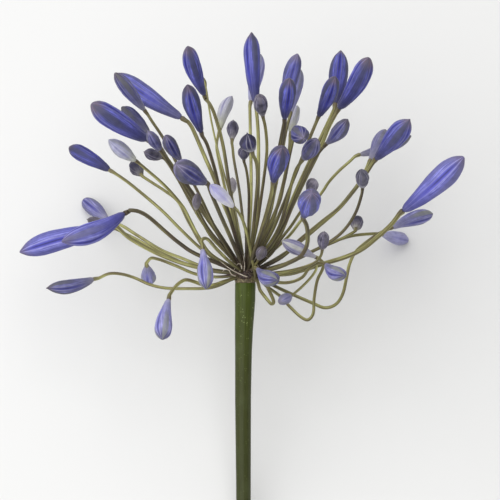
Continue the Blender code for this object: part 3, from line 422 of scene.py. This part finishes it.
def makePetalMaterial(name, look):
    made, add, shader = newMaterial(name)
    petal = add("SeparateXYZ", [add("UVMap", uv_map="petalMap")])
    along = petal.outputs["Y"]
    turn = add("MULTIPLY", [petal.outputs["X"], math.tau])
    lobe = add("COSINE", [add("MULTIPLY", [turn, 3.0])])
    # veins: noise that is fine round the bud and long along it, meets itself behind and differs from bud to bud
    cosine = add("COSINE", [turn])
    sine = add("SINE", [turn])
    seed = add("Attribute", attribute_name="seed").outputs["Fac"]
    lengthwise = add("MULTIPLY_ADD", [along, petalPattern["veinsAlong"], seed])
    skin = add("CombineXYZ", [cosine, sine, lengthwise])
    blotches = add("TexNoise", {"Vector": skin, "Scale": petalPattern["blotchesRound"], "Detail": 2.0})
    blotched = add("MapRange", [blotches, 0.38, 0.62])
    veins = add("TexNoise", {"Vector": skin, "Scale": petalPattern["veinsRound"], "Detail": 3.0, "Roughness": 0.6})
    veined = add("MapRange", [veins, 0.36, 0.64])
    veinShare = add("MapRange", [veined, 0.0, 1.0, 0.44, 0.0])
    # colour along the bud, then the glow on each tepal's flanks: their own brighter blue, partly a painted glow of
    # light through the petal
    lengthColour = add("ValToRGB", [along], ramp=list(zip((0.02, 0.16, 0.42, 0.84, 0.985), look.length)))
    flank = add("MULTIPLY", [lobe, lobe])
    offMidrib = add("MapRange", [flank, 0.75, 0.05], **smoothly)
    midLength = add("MapRange", [along, 0.15, 0.55], **smoothly)
    belowTip = add("MapRange", [along, 0.98, 0.80], **smoothly)
    window = add("MULTIPLY", [midLength, belowTip])
    flankAndPaintedGlow = add("MULTIPLY", [offMidrib, window])
    streaked = add("MapRange", [veined, 0.0, 1.0, 0.15, 1.1])
    patchy = add("MapRange", [blotched, 0.0, 1.0, 0.35, 1.15])
    patches = add("MULTIPLY", [streaked, patchy], use_clamp=True)
    flankAndPaintedGlowShare = add("MULTIPLY", [flankAndPaintedGlow, patches])
    # the midrib's dull stripe, which widens and strengthens towards the tip
    overMidrib = add("SUBTRACT", [lobe, add("MapRange", [along, 0.25, 0.90, 0.94, 0.50])])
    onMidrib = add("MapRange", [overMidrib, -0.45, 0.25], **smoothly)
    outer = add("MapRange", [along, 0.22, 0.66], **smoothly)
    dull = add("Attribute", attribute_name="dull").outputs["Fac"]
    midribWindow = add("MULTIPLY", [onMidrib, outer])
    brokenStripe = add("MULTIPLY", [midribWindow, add("MapRange", [patches, 0.16, 1.0, 1.0, 0.55])])
    midribShare = add("MULTIPLY", [brokenStripe, dull])
    # the inner tepal between two margins with its own faint midline, and the pale margins, clearest at the tip
    onInner = add("MapRange", [lobe, -0.70, -0.80], **smoothly)
    innerShare = add("MULTIPLY", [onInner, window])
    onLine = add("MapRange", [lobe, -0.94, -1.0, 0.0, 0.75])
    upper = add("MapRange", [along, 0.35, 0.62], **smoothly)
    lineShare = add("MULTIPLY", [add("MULTIPLY", [onLine, upper]), window])
    offMargin = add("ABSOLUTE", [add("ADD", [lobe, 0.68])])
    besideMargin = add("MapRange", [offMargin, 0.24, 0.02], **smoothly)
    marginStrength = add("MapRange", [along, 0.40, 0.92, look.lowMargin, look.tipMargin])
    marginShare = add("MULTIPLY", [besideMargin, marginStrength])
    # slow mottling over the whole bud, then the bud's darkness, or paleness where it is below 0, which is partly its
    # own colour and partly painted shade and painted light
    mottle = add("TexNoise", {"Vector": add("TexCoord").outputs["Object"],
                              "Scale": 1000 / petalPattern["mottling"], "Detail": 4.0})
    mottleShare = add("MapRange", [mottle, 0.35, 0.65, 0.0, look.mottle])
    shade = add("Attribute", attribute_name="shade").outputs["Fac"]
    unevenPale = add("MapRange", [mottle, 0.38, 0.62, 1 + look.mottle, 1 - look.mottle])
    paleShare = add("MULTIPLY", [add("MapRange", [shade, 0.0, -1.0]), unevenPale], use_clamp=True)
    colour = lengthColour
    for share, over in ((flankAndPaintedGlowShare, look.glow), (veinShare, look.line), (midribShare, look.midrib),
                        (innerShare, look.inner), (lineShare, look.line), (marginShare, look.margin),
                        (mottleShare, look.line), (shade, petalPattern["darkest"]), (paleShare, look.margin)):
        colour = add("Mix", {0: share, 6: colour, 7: linear(over)}, data_type="RGBA")
    gloss = add("MapRange", [veined, 0.0, 1.0, petalPattern["roughest"], petalPattern["smoothest"]])
    height = add("MULTIPLY_ADD", [veined, 0.35, add("MapRange", [onInner, 0.0, 1.0, 1.0, 0.2])])
    bump = add("Bump", {"Strength": 0.5, "Distance": petalPattern["veinDepth"] * mm, "Height": height})
    setInputs(shader, {"Base Color": colour, "Roughness": gloss, "Normal": bump})
    shader.inputs["IOR"].default_value = leafWax
    shader.inputs["Specular IOR Level"].default_value = 0.3
    return made


def makeBuds():
    tree = makeBudTree()
    petals = {name: makePetalMaterial(name + "Tepal", onePetal(*row)) for name, row in petalRows.items()}
    slots = {"ripe": "ripe_bud", "halfRipe": "half_ripe_bud", "young": "young_bud", "white": "white_bud"}
    for number, bud in buds.items():
        base, tip = Vector(bud.base), Vector(bud.tip)
        axis = (tip - base).normalized()
        right = Vector((axis.y, -axis.x, 0.0)).normalized()
        values = {"Length": (tip - base).length, "Width": bud.width, "Bow": bud.bow, "Point": bud.point,
                  "Roll": math.radians(bud.roll), "Dull": bud.dull, "Shade": bud.shade, "Seed": 3.7 * int(number),
                  "Petal": petals[bud.look], **budShapes[bud.kind], **budRelief}
        values.update(bud.own)
        piece = bakePiece("bud" + number, tree, values)
        stance = Matrix((right.cross(axis), right, axis)).transposed().to_4x4()
        piece.data.transform(headToRoom @ Matrix.Translation(base * mm) @ stance)
        keepAboveFloor(piece)
        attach(piece, "root")
        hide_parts("%s_%s" % (slots[bud.kind], number))
    print("buds: %d" % len(buds))


# Stalks, one for each bud and thicker under a wider one. Lengths in mm.
stalkShape = {"least": 0.25, "perWidth": 0.07, "flare": 1.35, "baseFlare": 1.15, "flareLength": 2.5, "sides": 12,
              "rootDepth": 1.5, "samples": 12, "collar": 1.7, "intoBud": 0.8, "ribs": 4.0, "ribHeight": 0.03}
knobCentre = Vector((0.0, 1.0, 0.0))


def wayOf(way, base, tip):
    # the stalk's points from inside the knob to the bud, with every depth filled in
    flat = [Vector((0.0, 0.0))] + [Vector(point[:2]) for point in way] + [Vector(base[:2])]
    reach = [0.0]
    for before, after in zip(flat, flat[1:]):
        reach.append(reach[-1] + (after - before).length)
    points = []
    for point, distance in zip(way, reach[1:]):
        depth = point[2] if len(point) == 3 else base[2] * distance / reach[-1]
        points.append(Vector((point[0], point[1], depth)))
    root = knobCentre + (points[0] - knobCentre).normalized() * stalkShape["rootDepth"]
    outward = (Vector(tip) - Vector(base)).normalized()
    return [root] + points + [Vector(base) - outward * stalkShape["collar"]], outward


def curveThrough(points, leave):
    # a smooth line through all the points
    padded = [2 * points[0] - points[1]] + points + [points[-1] + leave]
    line = []
    for before, here, there, after in zip(padded, padded[1:], padded[2:], padded[3:]):
        for step in range(stalkShape["samples"]):
            t = step / stalkShape["samples"]
            straight = 2 * here + (there - before) * t
            bent = (2 * before - 5 * here + 4 * there - after) * t ** 2 \
                + (3 * here - before - 3 * there + after) * t ** 3
            line.append((straight + bent) / 2)
    return line + [points[-1]]


def edgeMesh(name, lines):
    # lines are lists of (place in mm, radius in mm, green), and become chains of edges with those as attributes
    mesh = bpy.data.meshes.new(name)
    corners, edges, radii, greens = [], [], [], []
    for line in lines:
        start = len(corners)
        for place, radius, green in line:
            corners.append(headToRoom @ (place * mm))
            radii.append(radius * mm)
            greens.append(green)
        edges += [(n, n + 1) for n in range(start, len(corners) - 1)]
    mesh.from_pydata(corners, edges, [])
    mesh.attributes.new("girth", "FLOAT", "POINT").data.foreach_set("value", radii)
    mesh.attributes.new("green", "FLOAT", "POINT").data.foreach_set("value", greens)
    return mesh


def makeStalkTree():
    # a round skin with closed ends along each chain of edges, with low ribs that run along it
    tree = newTree("stalkSkin", Int={"Sides": 12}, Float={"Ribs": 5.0, "Rib Height": 0.02}, Material={"Skin": None})
    add = partial(addNode, tree)
    given = add("NodeGroupInput").outputs
    path = add("GeometryNodeMeshToCurve", [given["Geometry"]])
    reach = add("GeometryNodeSplineParameter")
    reached = add("GeometryNodeStoreNamedAttribute", [path, None, "reach", reach.outputs["Factor"]])
    circle = add("GeometryNodeCurvePrimitiveCircle", {"Resolution": given["Sides"], "Radius": 1.0})
    spot = add("GeometryNodeInputPosition")
    ring = add("SeparateXYZ", [spot])
    angle = add("ARCTAN2", [ring.outputs["Y"], ring.outputs["X"]])
    wave = add("SINE", [add("MULTIPLY", [angle, given["Ribs"]])])
    grown = add("MULTIPLY_ADD", [wave, given["Rib Height"], 1.0])
    around = add("GeometryNodeStoreNamedAttribute", [circle, None, "around", spot], data_type="FLOAT_VECTOR")
    profile = add("GeometryNodeSetPosition", [around, None, add("VectorMath SCALE", {0: spot, 3: grown})])
    girth = add("GeometryNodeInputNamedAttribute", ["girth"])
    tube = add("GeometryNodeCurveToMesh", {"Curve": reached, "Profile Curve": profile, "Scale": girth.outputs[0],
                                           "Fill Caps": True})
    smooth = add("GeometryNodeSetShadeSmooth", {"Geometry": tube})
    real = add("GeometryNodeRealizeInstances", {"Geometry": smooth})
    dressed = add("GeometryNodeSetMaterial", {"Geometry": real, "Material": given["Skin"]})
    add("NodeGroupOutput", [dressed])
    return tree


# Stalk skin is a fresh green stem: smooth, faintly waxy, darker and browner towards the knob, with fibres along it.
stalkColours = {"stem": [(0.0, "#463e31"), (0.3, "#6c6545"), (0.6, "#8e8a52"), (1.0, "#c4c37e")],
                "root": "#382e29", "flush": "#5f4b3c", "budEnd": "#6c5e58", "fibre": "#3a3222"}
fibreDepth = 0.05


def makeStalkMaterial():
    made, add, shader = newMaterial("freshStalk")
    green = add("Attribute", attribute_name="green").outputs["Fac"]
    reach = add("Attribute", attribute_name="reach").outputs["Fac"]
    where = add("TexCoord").outputs["Object"]
    patches = add("TexNoise", {"Vector": where, "Scale": 70.0, "Detail": 2.0})  # patches of 14 mm
    varied = add("MapRange", [patches, 0.35, 0.65, -0.12, 0.12])
    around = add("SeparateXYZ", [add("Attribute", attribute_name="around").outputs["Vector"]])
    lengthwise = add("MULTIPLY", [reach, 3.0])
    ownLength = add("MULTIPLY_ADD", [green, 9.0, lengthwise])
    # painted highlight and painted shade: noise round each stalk, steady along it, makes one side lighter and the
    # other darker
    side = add("CombineXYZ", [around.outputs["X"], around.outputs["Y"], ownLength])
    sides = add("TexNoise", {"Vector": side, "Scale": 1.0, "Detail": 1.0})
    # the stalk's own random tone patches plus the painted side highlight and painted shade
    tonePatchesAndPaintedSides = add("ADD", [varied, add("MapRange", [sides, 0.36, 0.64, -0.28, 0.30])])
    # the listed greenness: low values give darker, browner stalks, partly their own colour and partly painted shade
    tone = add("ADD", [green, tonePatchesAndPaintedSides], use_clamp=True)
    # darker and browner towards the knob
    rootShare = add("MapRange", [reach, 0.38, 0.03, 0.0, 0.85], **smoothly)
    endShare = add("MapRange", [reach, 0.955, 0.995, 0.0, 0.5])
    skin = add("CombineXYZ", [around.outputs["X"], around.outputs["Y"], lengthwise])
    fibres = add("TexNoise", {"Vector": skin, "Scale": 4.0, "Detail": 3.0})
    fibreShare = add("MapRange", [fibres, 0.42, 0.60, 0.45, 0.0])
    flushes = add("TexNoise", {"Vector": where, "Scale": 160.0, "Detail": 3.0})  # brown patches of 6 mm
    flushShare = add("MapRange", [flushes, 0.52, 0.70, 0.0, 0.4])
    colour = add("ValToRGB", [tone], ramp=stalkColours["stem"])
    for share, over in ((rootShare, "root"), (endShare, "budEnd"), (fibreShare, "fibre"), (flushShare, "flush")):
        colour = add("Mix", {0: share, 6: colour, 7: linear(stalkColours[over])}, data_type="RGBA")
    gloss = add("MapRange", [fibres, 0.3, 0.7, 0.52, 0.40])
    bump = add("Bump", {"Strength": 0.4, "Distance": fibreDepth * mm, "Height": fibres})
    setInputs(shader, {"Base Color": colour, "Roughness": gloss, "Normal": bump})
    shader.inputs["IOR"].default_value = leafWax
    return made


def makeStalks(tree):
    lines = []
    for bud in buds.values():
        points, outward = wayOf(bud.way, bud.base, bud.tip)
        line = curveThrough(points, outward * stalkShape["collar"])
        base = Vector(bud.base)
        line += [base, base + outward * stalkShape["intoBud"]]
        thin = stalkShape["least"] + stalkShape["perWidth"] * bud.width
        dressed = []
        for place in line:
            nearBud = max(0.0, 1 - (place - base).length / stalkShape["flareLength"])
            nearRoot = max(0.0, 1 - (place - line[0]).length / (2 * stalkShape["flareLength"]))
            swell = 1 + (stalkShape["flare"] - 1) * nearBud + (stalkShape["baseFlare"] - 1) * nearRoot
            dressed.append((place, thin * swell, bud.green))
        lines.append(dressed)
    points, outward = wayOf(lateBud["way"], lateBud["base"], lateBud["tip"])
    thin = stalkShape["least"] + stalkShape["perWidth"] * lateBud["width"]
    dressed = [(place, thin, lateBud["green"])
               for place in curveThrough(points, outward * stalkShape["collar"])]
    base, tip = Vector(lateBud["base"]), Vector(lateBud["tip"])
    for along, fullness in lateBud["rings"]:
        dressed.append((base.lerp(tip, along), 0.5 * lateBud["width"] * fullness, lateBud["green"]))
    lines.append(dressed)
    values = {"Sides": stalkShape["sides"], "Ribs": stalkShape["ribs"], "Rib Height": stalkShape["ribHeight"],
              "Skin": makeStalkMaterial()}
    piece = bakePiece("budStalks", tree, values, edgeMesh("stalkWays", lines))
    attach(piece, "root")
    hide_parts("pedicels")
    print("stalks: %d" % len(lines))


# The scape, listed from its top down as (distance under the hub, drift, radius) in mm.
scapeShape = {"line": [(2.2, -0.3, 4.35), (3.4, -0.3, 4.55), (6.0, -0.35, 4.5), (10.0, -0.4, 4.5),
                       (16.0, -0.6, 4.25), (23.0, -0.9, 4.0), (33.0, -1.1, 3.7), (43.0, -1.2, 3.6),
                       (54.0, -1.3, 3.5), (76.0, -1.2, 3.35), (98.0, -1.1, 3.2), (110.0, -1.05, 3.15),
                       (120.6, -1.0, 3.1), (121.0, -1.0, 2.95)],
              "sides": 64, "ribs": 11.0, "ribHeight": 0.012, "grooveDepth": 0.08}
# Scape skin is a fresh flower stem: green, smooth, with a thin bloom of wax, faint ribs and pale flecks at the top.
scapeColours = {"length": [(0.0, "#475516"), (0.12, "#454f18"), (0.35, "#3d421a"), (1.0, "#373a1b")],
                "rib": "#29310f", "fleck": "#8c9a5c", "bloom": "#535b38", "pith": "#a7ad7c", "bundle": "#6d7a45"}


def makeScapeMaterial():
    made, add, shader = newMaterial("freshScape")
    reach = add("Attribute", attribute_name="reach").outputs["Fac"]
    where = add("TexCoord").outputs["Object"]
    around = add("SeparateXYZ", [add("Attribute", attribute_name="around").outputs["Vector"]])
    lengthwise = add("MULTIPLY", [reach, 1.6])
    skin = add("CombineXYZ", [around.outputs["X"], around.outputs["Y"], lengthwise])
    ribs = add("TexNoise", {"Vector": skin, "Scale": 7.0, "Detail": 4.0})
    ribShare = add("MapRange", [ribs, 0.42, 0.62, 0.35, 0.0])
    clouds = add("TexNoise", {"Vector": where, "Scale": 110.0, "Detail": 5.0})  # wax bloom in patches of 9 mm
    bloomShare = add("MapRange", [clouds, 0.48, 0.72, 0.0, 0.35])
    dots = add("TexVoronoi", {"Vector": where, "Scale": 900.0})
    dotted = add("MapRange", [dots.outputs["Distance"], 0.30, 0.16])  # flecks of 0.3 mm
    some = add("MapRange", [add("TexNoise", {"Vector": where, "Scale": 420.0}), 0.54, 0.60])
    nearTop = add("MapRange", [reach, 0.30, 0.05, 0.15, 0.75])
    fleckShare = add("MULTIPLY", [add("MULTIPLY", [dotted, some]), nearTop])
    # the cut end shows the paler pith, with the ends of its bundles as dots
    bundles = add("MULTIPLY", [dotted, 0.6])
    pith = add("Mix", {0: bundles, 6: linear(scapeColours["pith"]), 7: linear(scapeColours["bundle"])},
               data_type="RGBA")
    atCut = add("MapRange", [reach, 0.9985, 0.9995])
    colour = add("ValToRGB", [reach], ramp=scapeColours["length"])
    for share, over in ((ribShare, linear(scapeColours["rib"])), (bloomShare, linear(scapeColours["bloom"])),
                        (fleckShare, linear(scapeColours["fleck"])), (atCut, pith)):
        colour = add("Mix", {0: share, 6: colour, 7: over}, data_type="RGBA")
    gloss = add("MapRange", [clouds, 0.3, 0.7, 0.36, 0.50])
    bump = add("Bump", {"Strength": 0.35, "Distance": scapeShape["grooveDepth"] * mm, "Height": ribs})
    setInputs(shader, {"Base Color": colour, "Roughness": gloss, "Normal": bump})
    shader.inputs["IOR"].default_value = leafWax
    shader.inputs["Specular IOR Level"].default_value = 0.3
    return made


def makeScape(tree):
    line = [(Vector((drift, -under, 0.0)), radius, 0.5) for under, drift, radius in scapeShape["line"]]
    values = {"Sides": scapeShape["sides"], "Ribs": scapeShape["ribs"], "Rib Height": scapeShape["ribHeight"],
              "Skin": makeScapeMaterial()}
    piece = bakePiece("flowerScape", tree, values, edgeMesh("scapeWay", [line]))
    keepAboveFloor(piece)
    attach(piece, "root")
    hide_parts("scape")
    print("scape: one")


# Dried plant skins, dark to light, with the size of the grain in mm and the roughness: the knob on top of the scape,
# the torn scar of the bracts, and bracteoles that dried paper pale or brown. All are matt, streaked and mottled.
barks = {
    "knobSkin": ([(0.0, "#241a1c"), (0.45, "#3c2c28"), (0.8, "#57443a"), (1.0, "#86705c")], 1.6, 0.6),
    "driedScar": ([(0.0, "#3c3228"), (0.5, "#645841"), (1.0, "#938765")], 0.8, 0.65),
    "paperyBracteole": ([(0.0, "#85786c"), (0.5, "#b9ad9b"), (1.0, "#e8e0ce")], 1.8, 0.7),
    "driedBracteole": ([(0.0, "#33282b"), (0.5, "#57463f"), (1.0, "#93806f")], 1.8, 0.7),
}
barkDepth = 0.15


def makeBarkMaterial(name):
    stops, grainSize, roughness = barks[name]
    made, add, shader = newMaterial(name)
    grain = add("TexNoise", {"Vector": add("TexCoord").outputs["Object"], "Scale": 1000.0 / grainSize,
                             "Detail": 5.0, "Roughness": 0.65})
    colour = add("ValToRGB", [add("MapRange", [grain, 0.32, 0.68])], ramp=stops)
    dry = add("MapRange", [grain, 0.3, 0.7, roughness - 0.08, roughness + 0.1])
    bump = add("Bump", {"Strength": 0.6, "Distance": barkDepth * mm, "Height": grain})
    setInputs(shader, {"Base Color": colour, "Roughness": dry, "Normal": bump})
    return made


# The knob on top of the scape, lumped where each stalk leaves it.
knobShape = {"side": 4.3, "bottom": -2.4, "top": 5.2, "lump": 0.16, "lumpMiddle": 0.4, "lumpAngle": 11.0,
             "grain": 0.05, "grainsAcross": 6}


def makeKnob():
    roots = [(wayOf(bud.way, bud.base, bud.tip)[0][1] - knobCentre).normalized() for bud in buds.values()]
    body = bmesh.new()
    bmesh.ops.create_icosphere(body, subdivisions=5, radius=1.0)
    spread = math.radians(knobShape["lumpAngle"])
    for corner in body.verts:
        way = corner.co.normalized()
        lump = max(math.exp(-(way.angle(root) / spread) ** 2) for root in roots)
        size = 1 + knobShape["lump"] * (lump - knobShape["lumpMiddle"])
        size += knobShape["grain"] * noise.noise(way * knobShape["grainsAcross"])
        height = knobShape["top"] if way.y > 0 else -knobShape["bottom"]
        corner.co = Vector((way.x * knobShape["side"], way.y * height, way.z * knobShape["side"])) * size * mm
    piece = carvePiece("umbelKnob", body, makeBarkMaterial("knobSkin"))
    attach(piece, "root")
    print("knob: %d faces" % len(piece.data.polygons))


# The scar that the two fallen spathe bracts left: a thin torn collar round the top of the scape. Its profile is
# listed as (share of its thickness, share of its height).
scarShape = {"top": -0.9, "bottom": -2.7, "radius": 4.35, "thick": 0.35, "tear": 0.5, "fineTear": 0.3, "sides": 96,
             "drift": -0.3, "inset": 0.12,
             "profile": [(0.0, 0.0), (0.55, 0.25), (1.0, 0.6), (0.8, 1.0), (0.1, 1.0)]}


def makeScar():
    body = bmesh.new()
    rings = []
    for out, up in scarShape["profile"]:
        ring = []
        for side in range(scarShape["sides"]):
            turn = math.tau * side / scarShape["sides"]
            way = Vector((math.cos(turn), 0.0, math.sin(turn)))
            torn = 1 + scarShape["tear"] * noise.noise(way * 3.1) + scarShape["fineTear"] * noise.noise(way * 11)
            height = scarShape["bottom"] + (scarShape["top"] - scarShape["bottom"]) * up * torn
            radius = scarShape["radius"] + scarShape["thick"] * out * (0.7 + 0.3 * torn)
            ring.append(body.verts.new(Vector((way.x * radius + scarShape["drift"], height, way.z * radius)) * mm))
        rings.append(ring)
    rings.append([body.verts.new(v.co + Vector((scarShape["drift"] * mm - v.co.x, 0.0, -v.co.z)) * scarShape["inset"])
                  for v in rings[-1]])
    for lower, upper in zip(rings, rings[1:] + rings[:1]):
        for side in range(scarShape["sides"]):
            after = (side + 1) % scarShape["sides"]
            body.faces.new((lower[side], lower[after], upper[after], upper[side]))
    bmesh.ops.recalc_face_normals(body, faces=body.faces)
    piece = carvePiece("spatheScar", body, makeBarkMaterial("driedScar"))
    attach(piece, "root")
    print("scar: %d faces" % len(piece.data.polygons))


# Bracteoles: papery threads that dry among the stalks, in mm. These few show in the photograph, the rest are
# scattered. Two high ribs flatten each thread.
threadShape = {"radius": 0.25, "count": 34, "seed": 4, "start": 3.6, "sides": 6, "ribs": 2.0, "ribHeight": 0.45,
               "rise": (-0.15, 1.1), "sway": (-2.5, 2.5), "length": (4.5, 9.5), "droop": (-2.5, 1.5)}
threadsSeen = [
    [(-11.6, 7.2, 6.5), (-8.8, 5.0, 7.0), (-5.6, 2.8, 7.0), (-2.4, 1.2, 6.2), (0.6, 0.0, 5.0)],
    [(-10.4, 2.4, 6.0), (-9.0, 3.4, 6.6), (-7.4, 2.8, 6.8), (-6.4, 1.2, 6.2), (-4.6, 0.4, 5.0)],
    [(-5.2, 3.2, 6.4), (-4.4, 4.9, 7.2), (-3.2, 5.9, 7.4), (-2.2, 5.4, 6.4), (-1.8, 3.6, 5.0)],
    [(-7.2, 7.4, 6.0), (-5.2, 6.0, 6.8), (-3.6, 4.4, 6.2), (-2.6, 2.6, 5.0)],
    [(-1.2, 9.6, 6.0), (-0.9, 7.4, 6.4), (-0.6, 5.0, 6.2), (-0.8, 2.8, 5.0)],
    [(9.9, 8.4, 7.0), (7.6, 10.0, 7.4), (5.8, 10.6, 7.0), (4.0, 8.0, 6.2), (2.6, 4.0, 4.8)],
    [(5.6, 4.6, 7.0), (4.2, 6.2, 7.4), (3.2, 5.0, 6.4), (2.6, 2.6, 5.0)],
]


def taper(line, least):
    # a thread is thinnest at its free end, where it has this share of its radius
    return [(place, threadShape["radius"] * (least + (1 - least) * n / len(line)), 0.0)
            for n, place in enumerate(line)]


def makeThreads(tree):
    chance = random.Random(threadShape["seed"])
    seen = [taper(curveThrough([Vector(p) for p in points], Vector(points[-1]) - Vector(points[-2])), 0.35)
            for points in threadsSeen]
    scattered = []
    for _ in range(threadShape["count"]):
        turn = chance.uniform(0, math.tau)
        way = Vector((math.cos(turn), chance.uniform(*threadShape["rise"]), math.sin(turn))).normalized()
        side = way.cross(Vector((0, 1, 0))).normalized() * chance.uniform(*threadShape["sway"])
        length = chance.uniform(*threadShape["length"])
        droop = Vector((0, chance.uniform(*threadShape["droop"]), 0))
        start = threadShape["start"]
        points = [knobCentre + way * start]
        for share in (0.35, 0.7, 1.0):
            points.append(knobCentre + way * (start + length * share) + side * share ** 2 + droop * share ** 3)
        points.reverse()
        scattered.append(taper(curveThrough(points, points[-1] - points[-2]), 0.3))
    for name, lines, skin in (("paleBracteoles", seen, "paperyBracteole"),
                              ("dryBracteoles", scattered, "driedBracteole")):
        values = {"Sides": threadShape["sides"], "Ribs": threadShape["ribs"],
                  "Rib Height": threadShape["ribHeight"], "Skin": makeBarkMaterial(skin)}
        piece = bakePiece(name, tree, values, edgeMesh(name + "Ways", lines))
        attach(piece, "root")
    print("bracteoles: %d" % (len(seen) + len(scattered)))


# Room: a plain floor of matt pale paper, one broad soft lamp from the upper left and even light all round. In m.
room = {"floorSide": 3.0, "paper": "#e2e2e1", "paperRoughness": 0.9, "paperShine": 0.1,
        "worldStrength": 0.48, "keyPower": 27.0, "keySize": 2.6, "keyPlace": (-0.50, 0.50, 1.0)}
# The photo's viewing angle: square on to the head, and so from above as it lies. The target is in mm from the hub.
view = {"distance": 2.5, "frameSide": 0.220, "lookAt": (1.76, 11.88, 0.0), "sensor": 36.0, "farthest": 20.0}


def makeRoom():
    body = bmesh.new()
    bmesh.ops.create_grid(body, x_segments=8, y_segments=8, size=room["floorSide"] / 2)
    mesh = bpy.data.meshes.new("paperFloor")
    body.to_mesh(mesh)
    body.free()
    paper, _, shader = newMaterial("mattPaper")
    shader.inputs["Base Color"].default_value = linear(room["paper"])
    shader.inputs["Roughness"].default_value = room["paperRoughness"]
    shader.inputs["Specular IOR Level"].default_value = room["paperShine"]
    mesh.materials.append(paper)
    addObject("paperFloor", mesh)
    scene = bpy.context.scene
    world = bpy.data.worlds.new("softRoom")
    world.use_nodes = True
    light = world.node_tree.nodes["Background"]
    light.inputs["Color"].default_value = (1.0, 1.0, 1.0, 1.0)
    light.inputs["Strength"].default_value = room["worldStrength"]
    scene.world = world
    target = headToRoom @ (Vector(view["lookAt"]) * mm)
    lamp = bpy.data.lights.new("softKey", "AREA")
    lamp.shape = "DISK"
    lamp.size = room["keySize"]
    lamp.energy = room["keyPower"]
    key = addObject("softKey", lamp)
    key.location = target + headToRoom.to_3x3() @ Vector(room["keyPlace"])
    key.rotation_euler = (target - key.location).to_track_quat("-Z", "Y").to_euler()
    scene.view_settings.view_transform = "Standard"
    lens = bpy.data.cameras.new("photoView")
    lens.sensor_width = view["sensor"]
    lens.lens = lens.sensor_width * view["distance"] / view["frameSide"]
    lens.clip_end = view["farthest"]
    camera = addObject("photoView", lens)
    camera.matrix_world = Matrix.Translation(headToRoom.to_3x3() @ Vector((0, 0, view["distance"]))) \
        @ Matrix.Translation(target) @ Matrix.Rotation(lean, 4, "X")
    scene.camera = camera
    print("room and camera set")


makeRoom()
makeBuds()
skinTree = makeStalkTree()
makeStalks(skinTree)
makeScape(skinTree)
makeKnob()
makeScar()
makeThreads(skinTree)
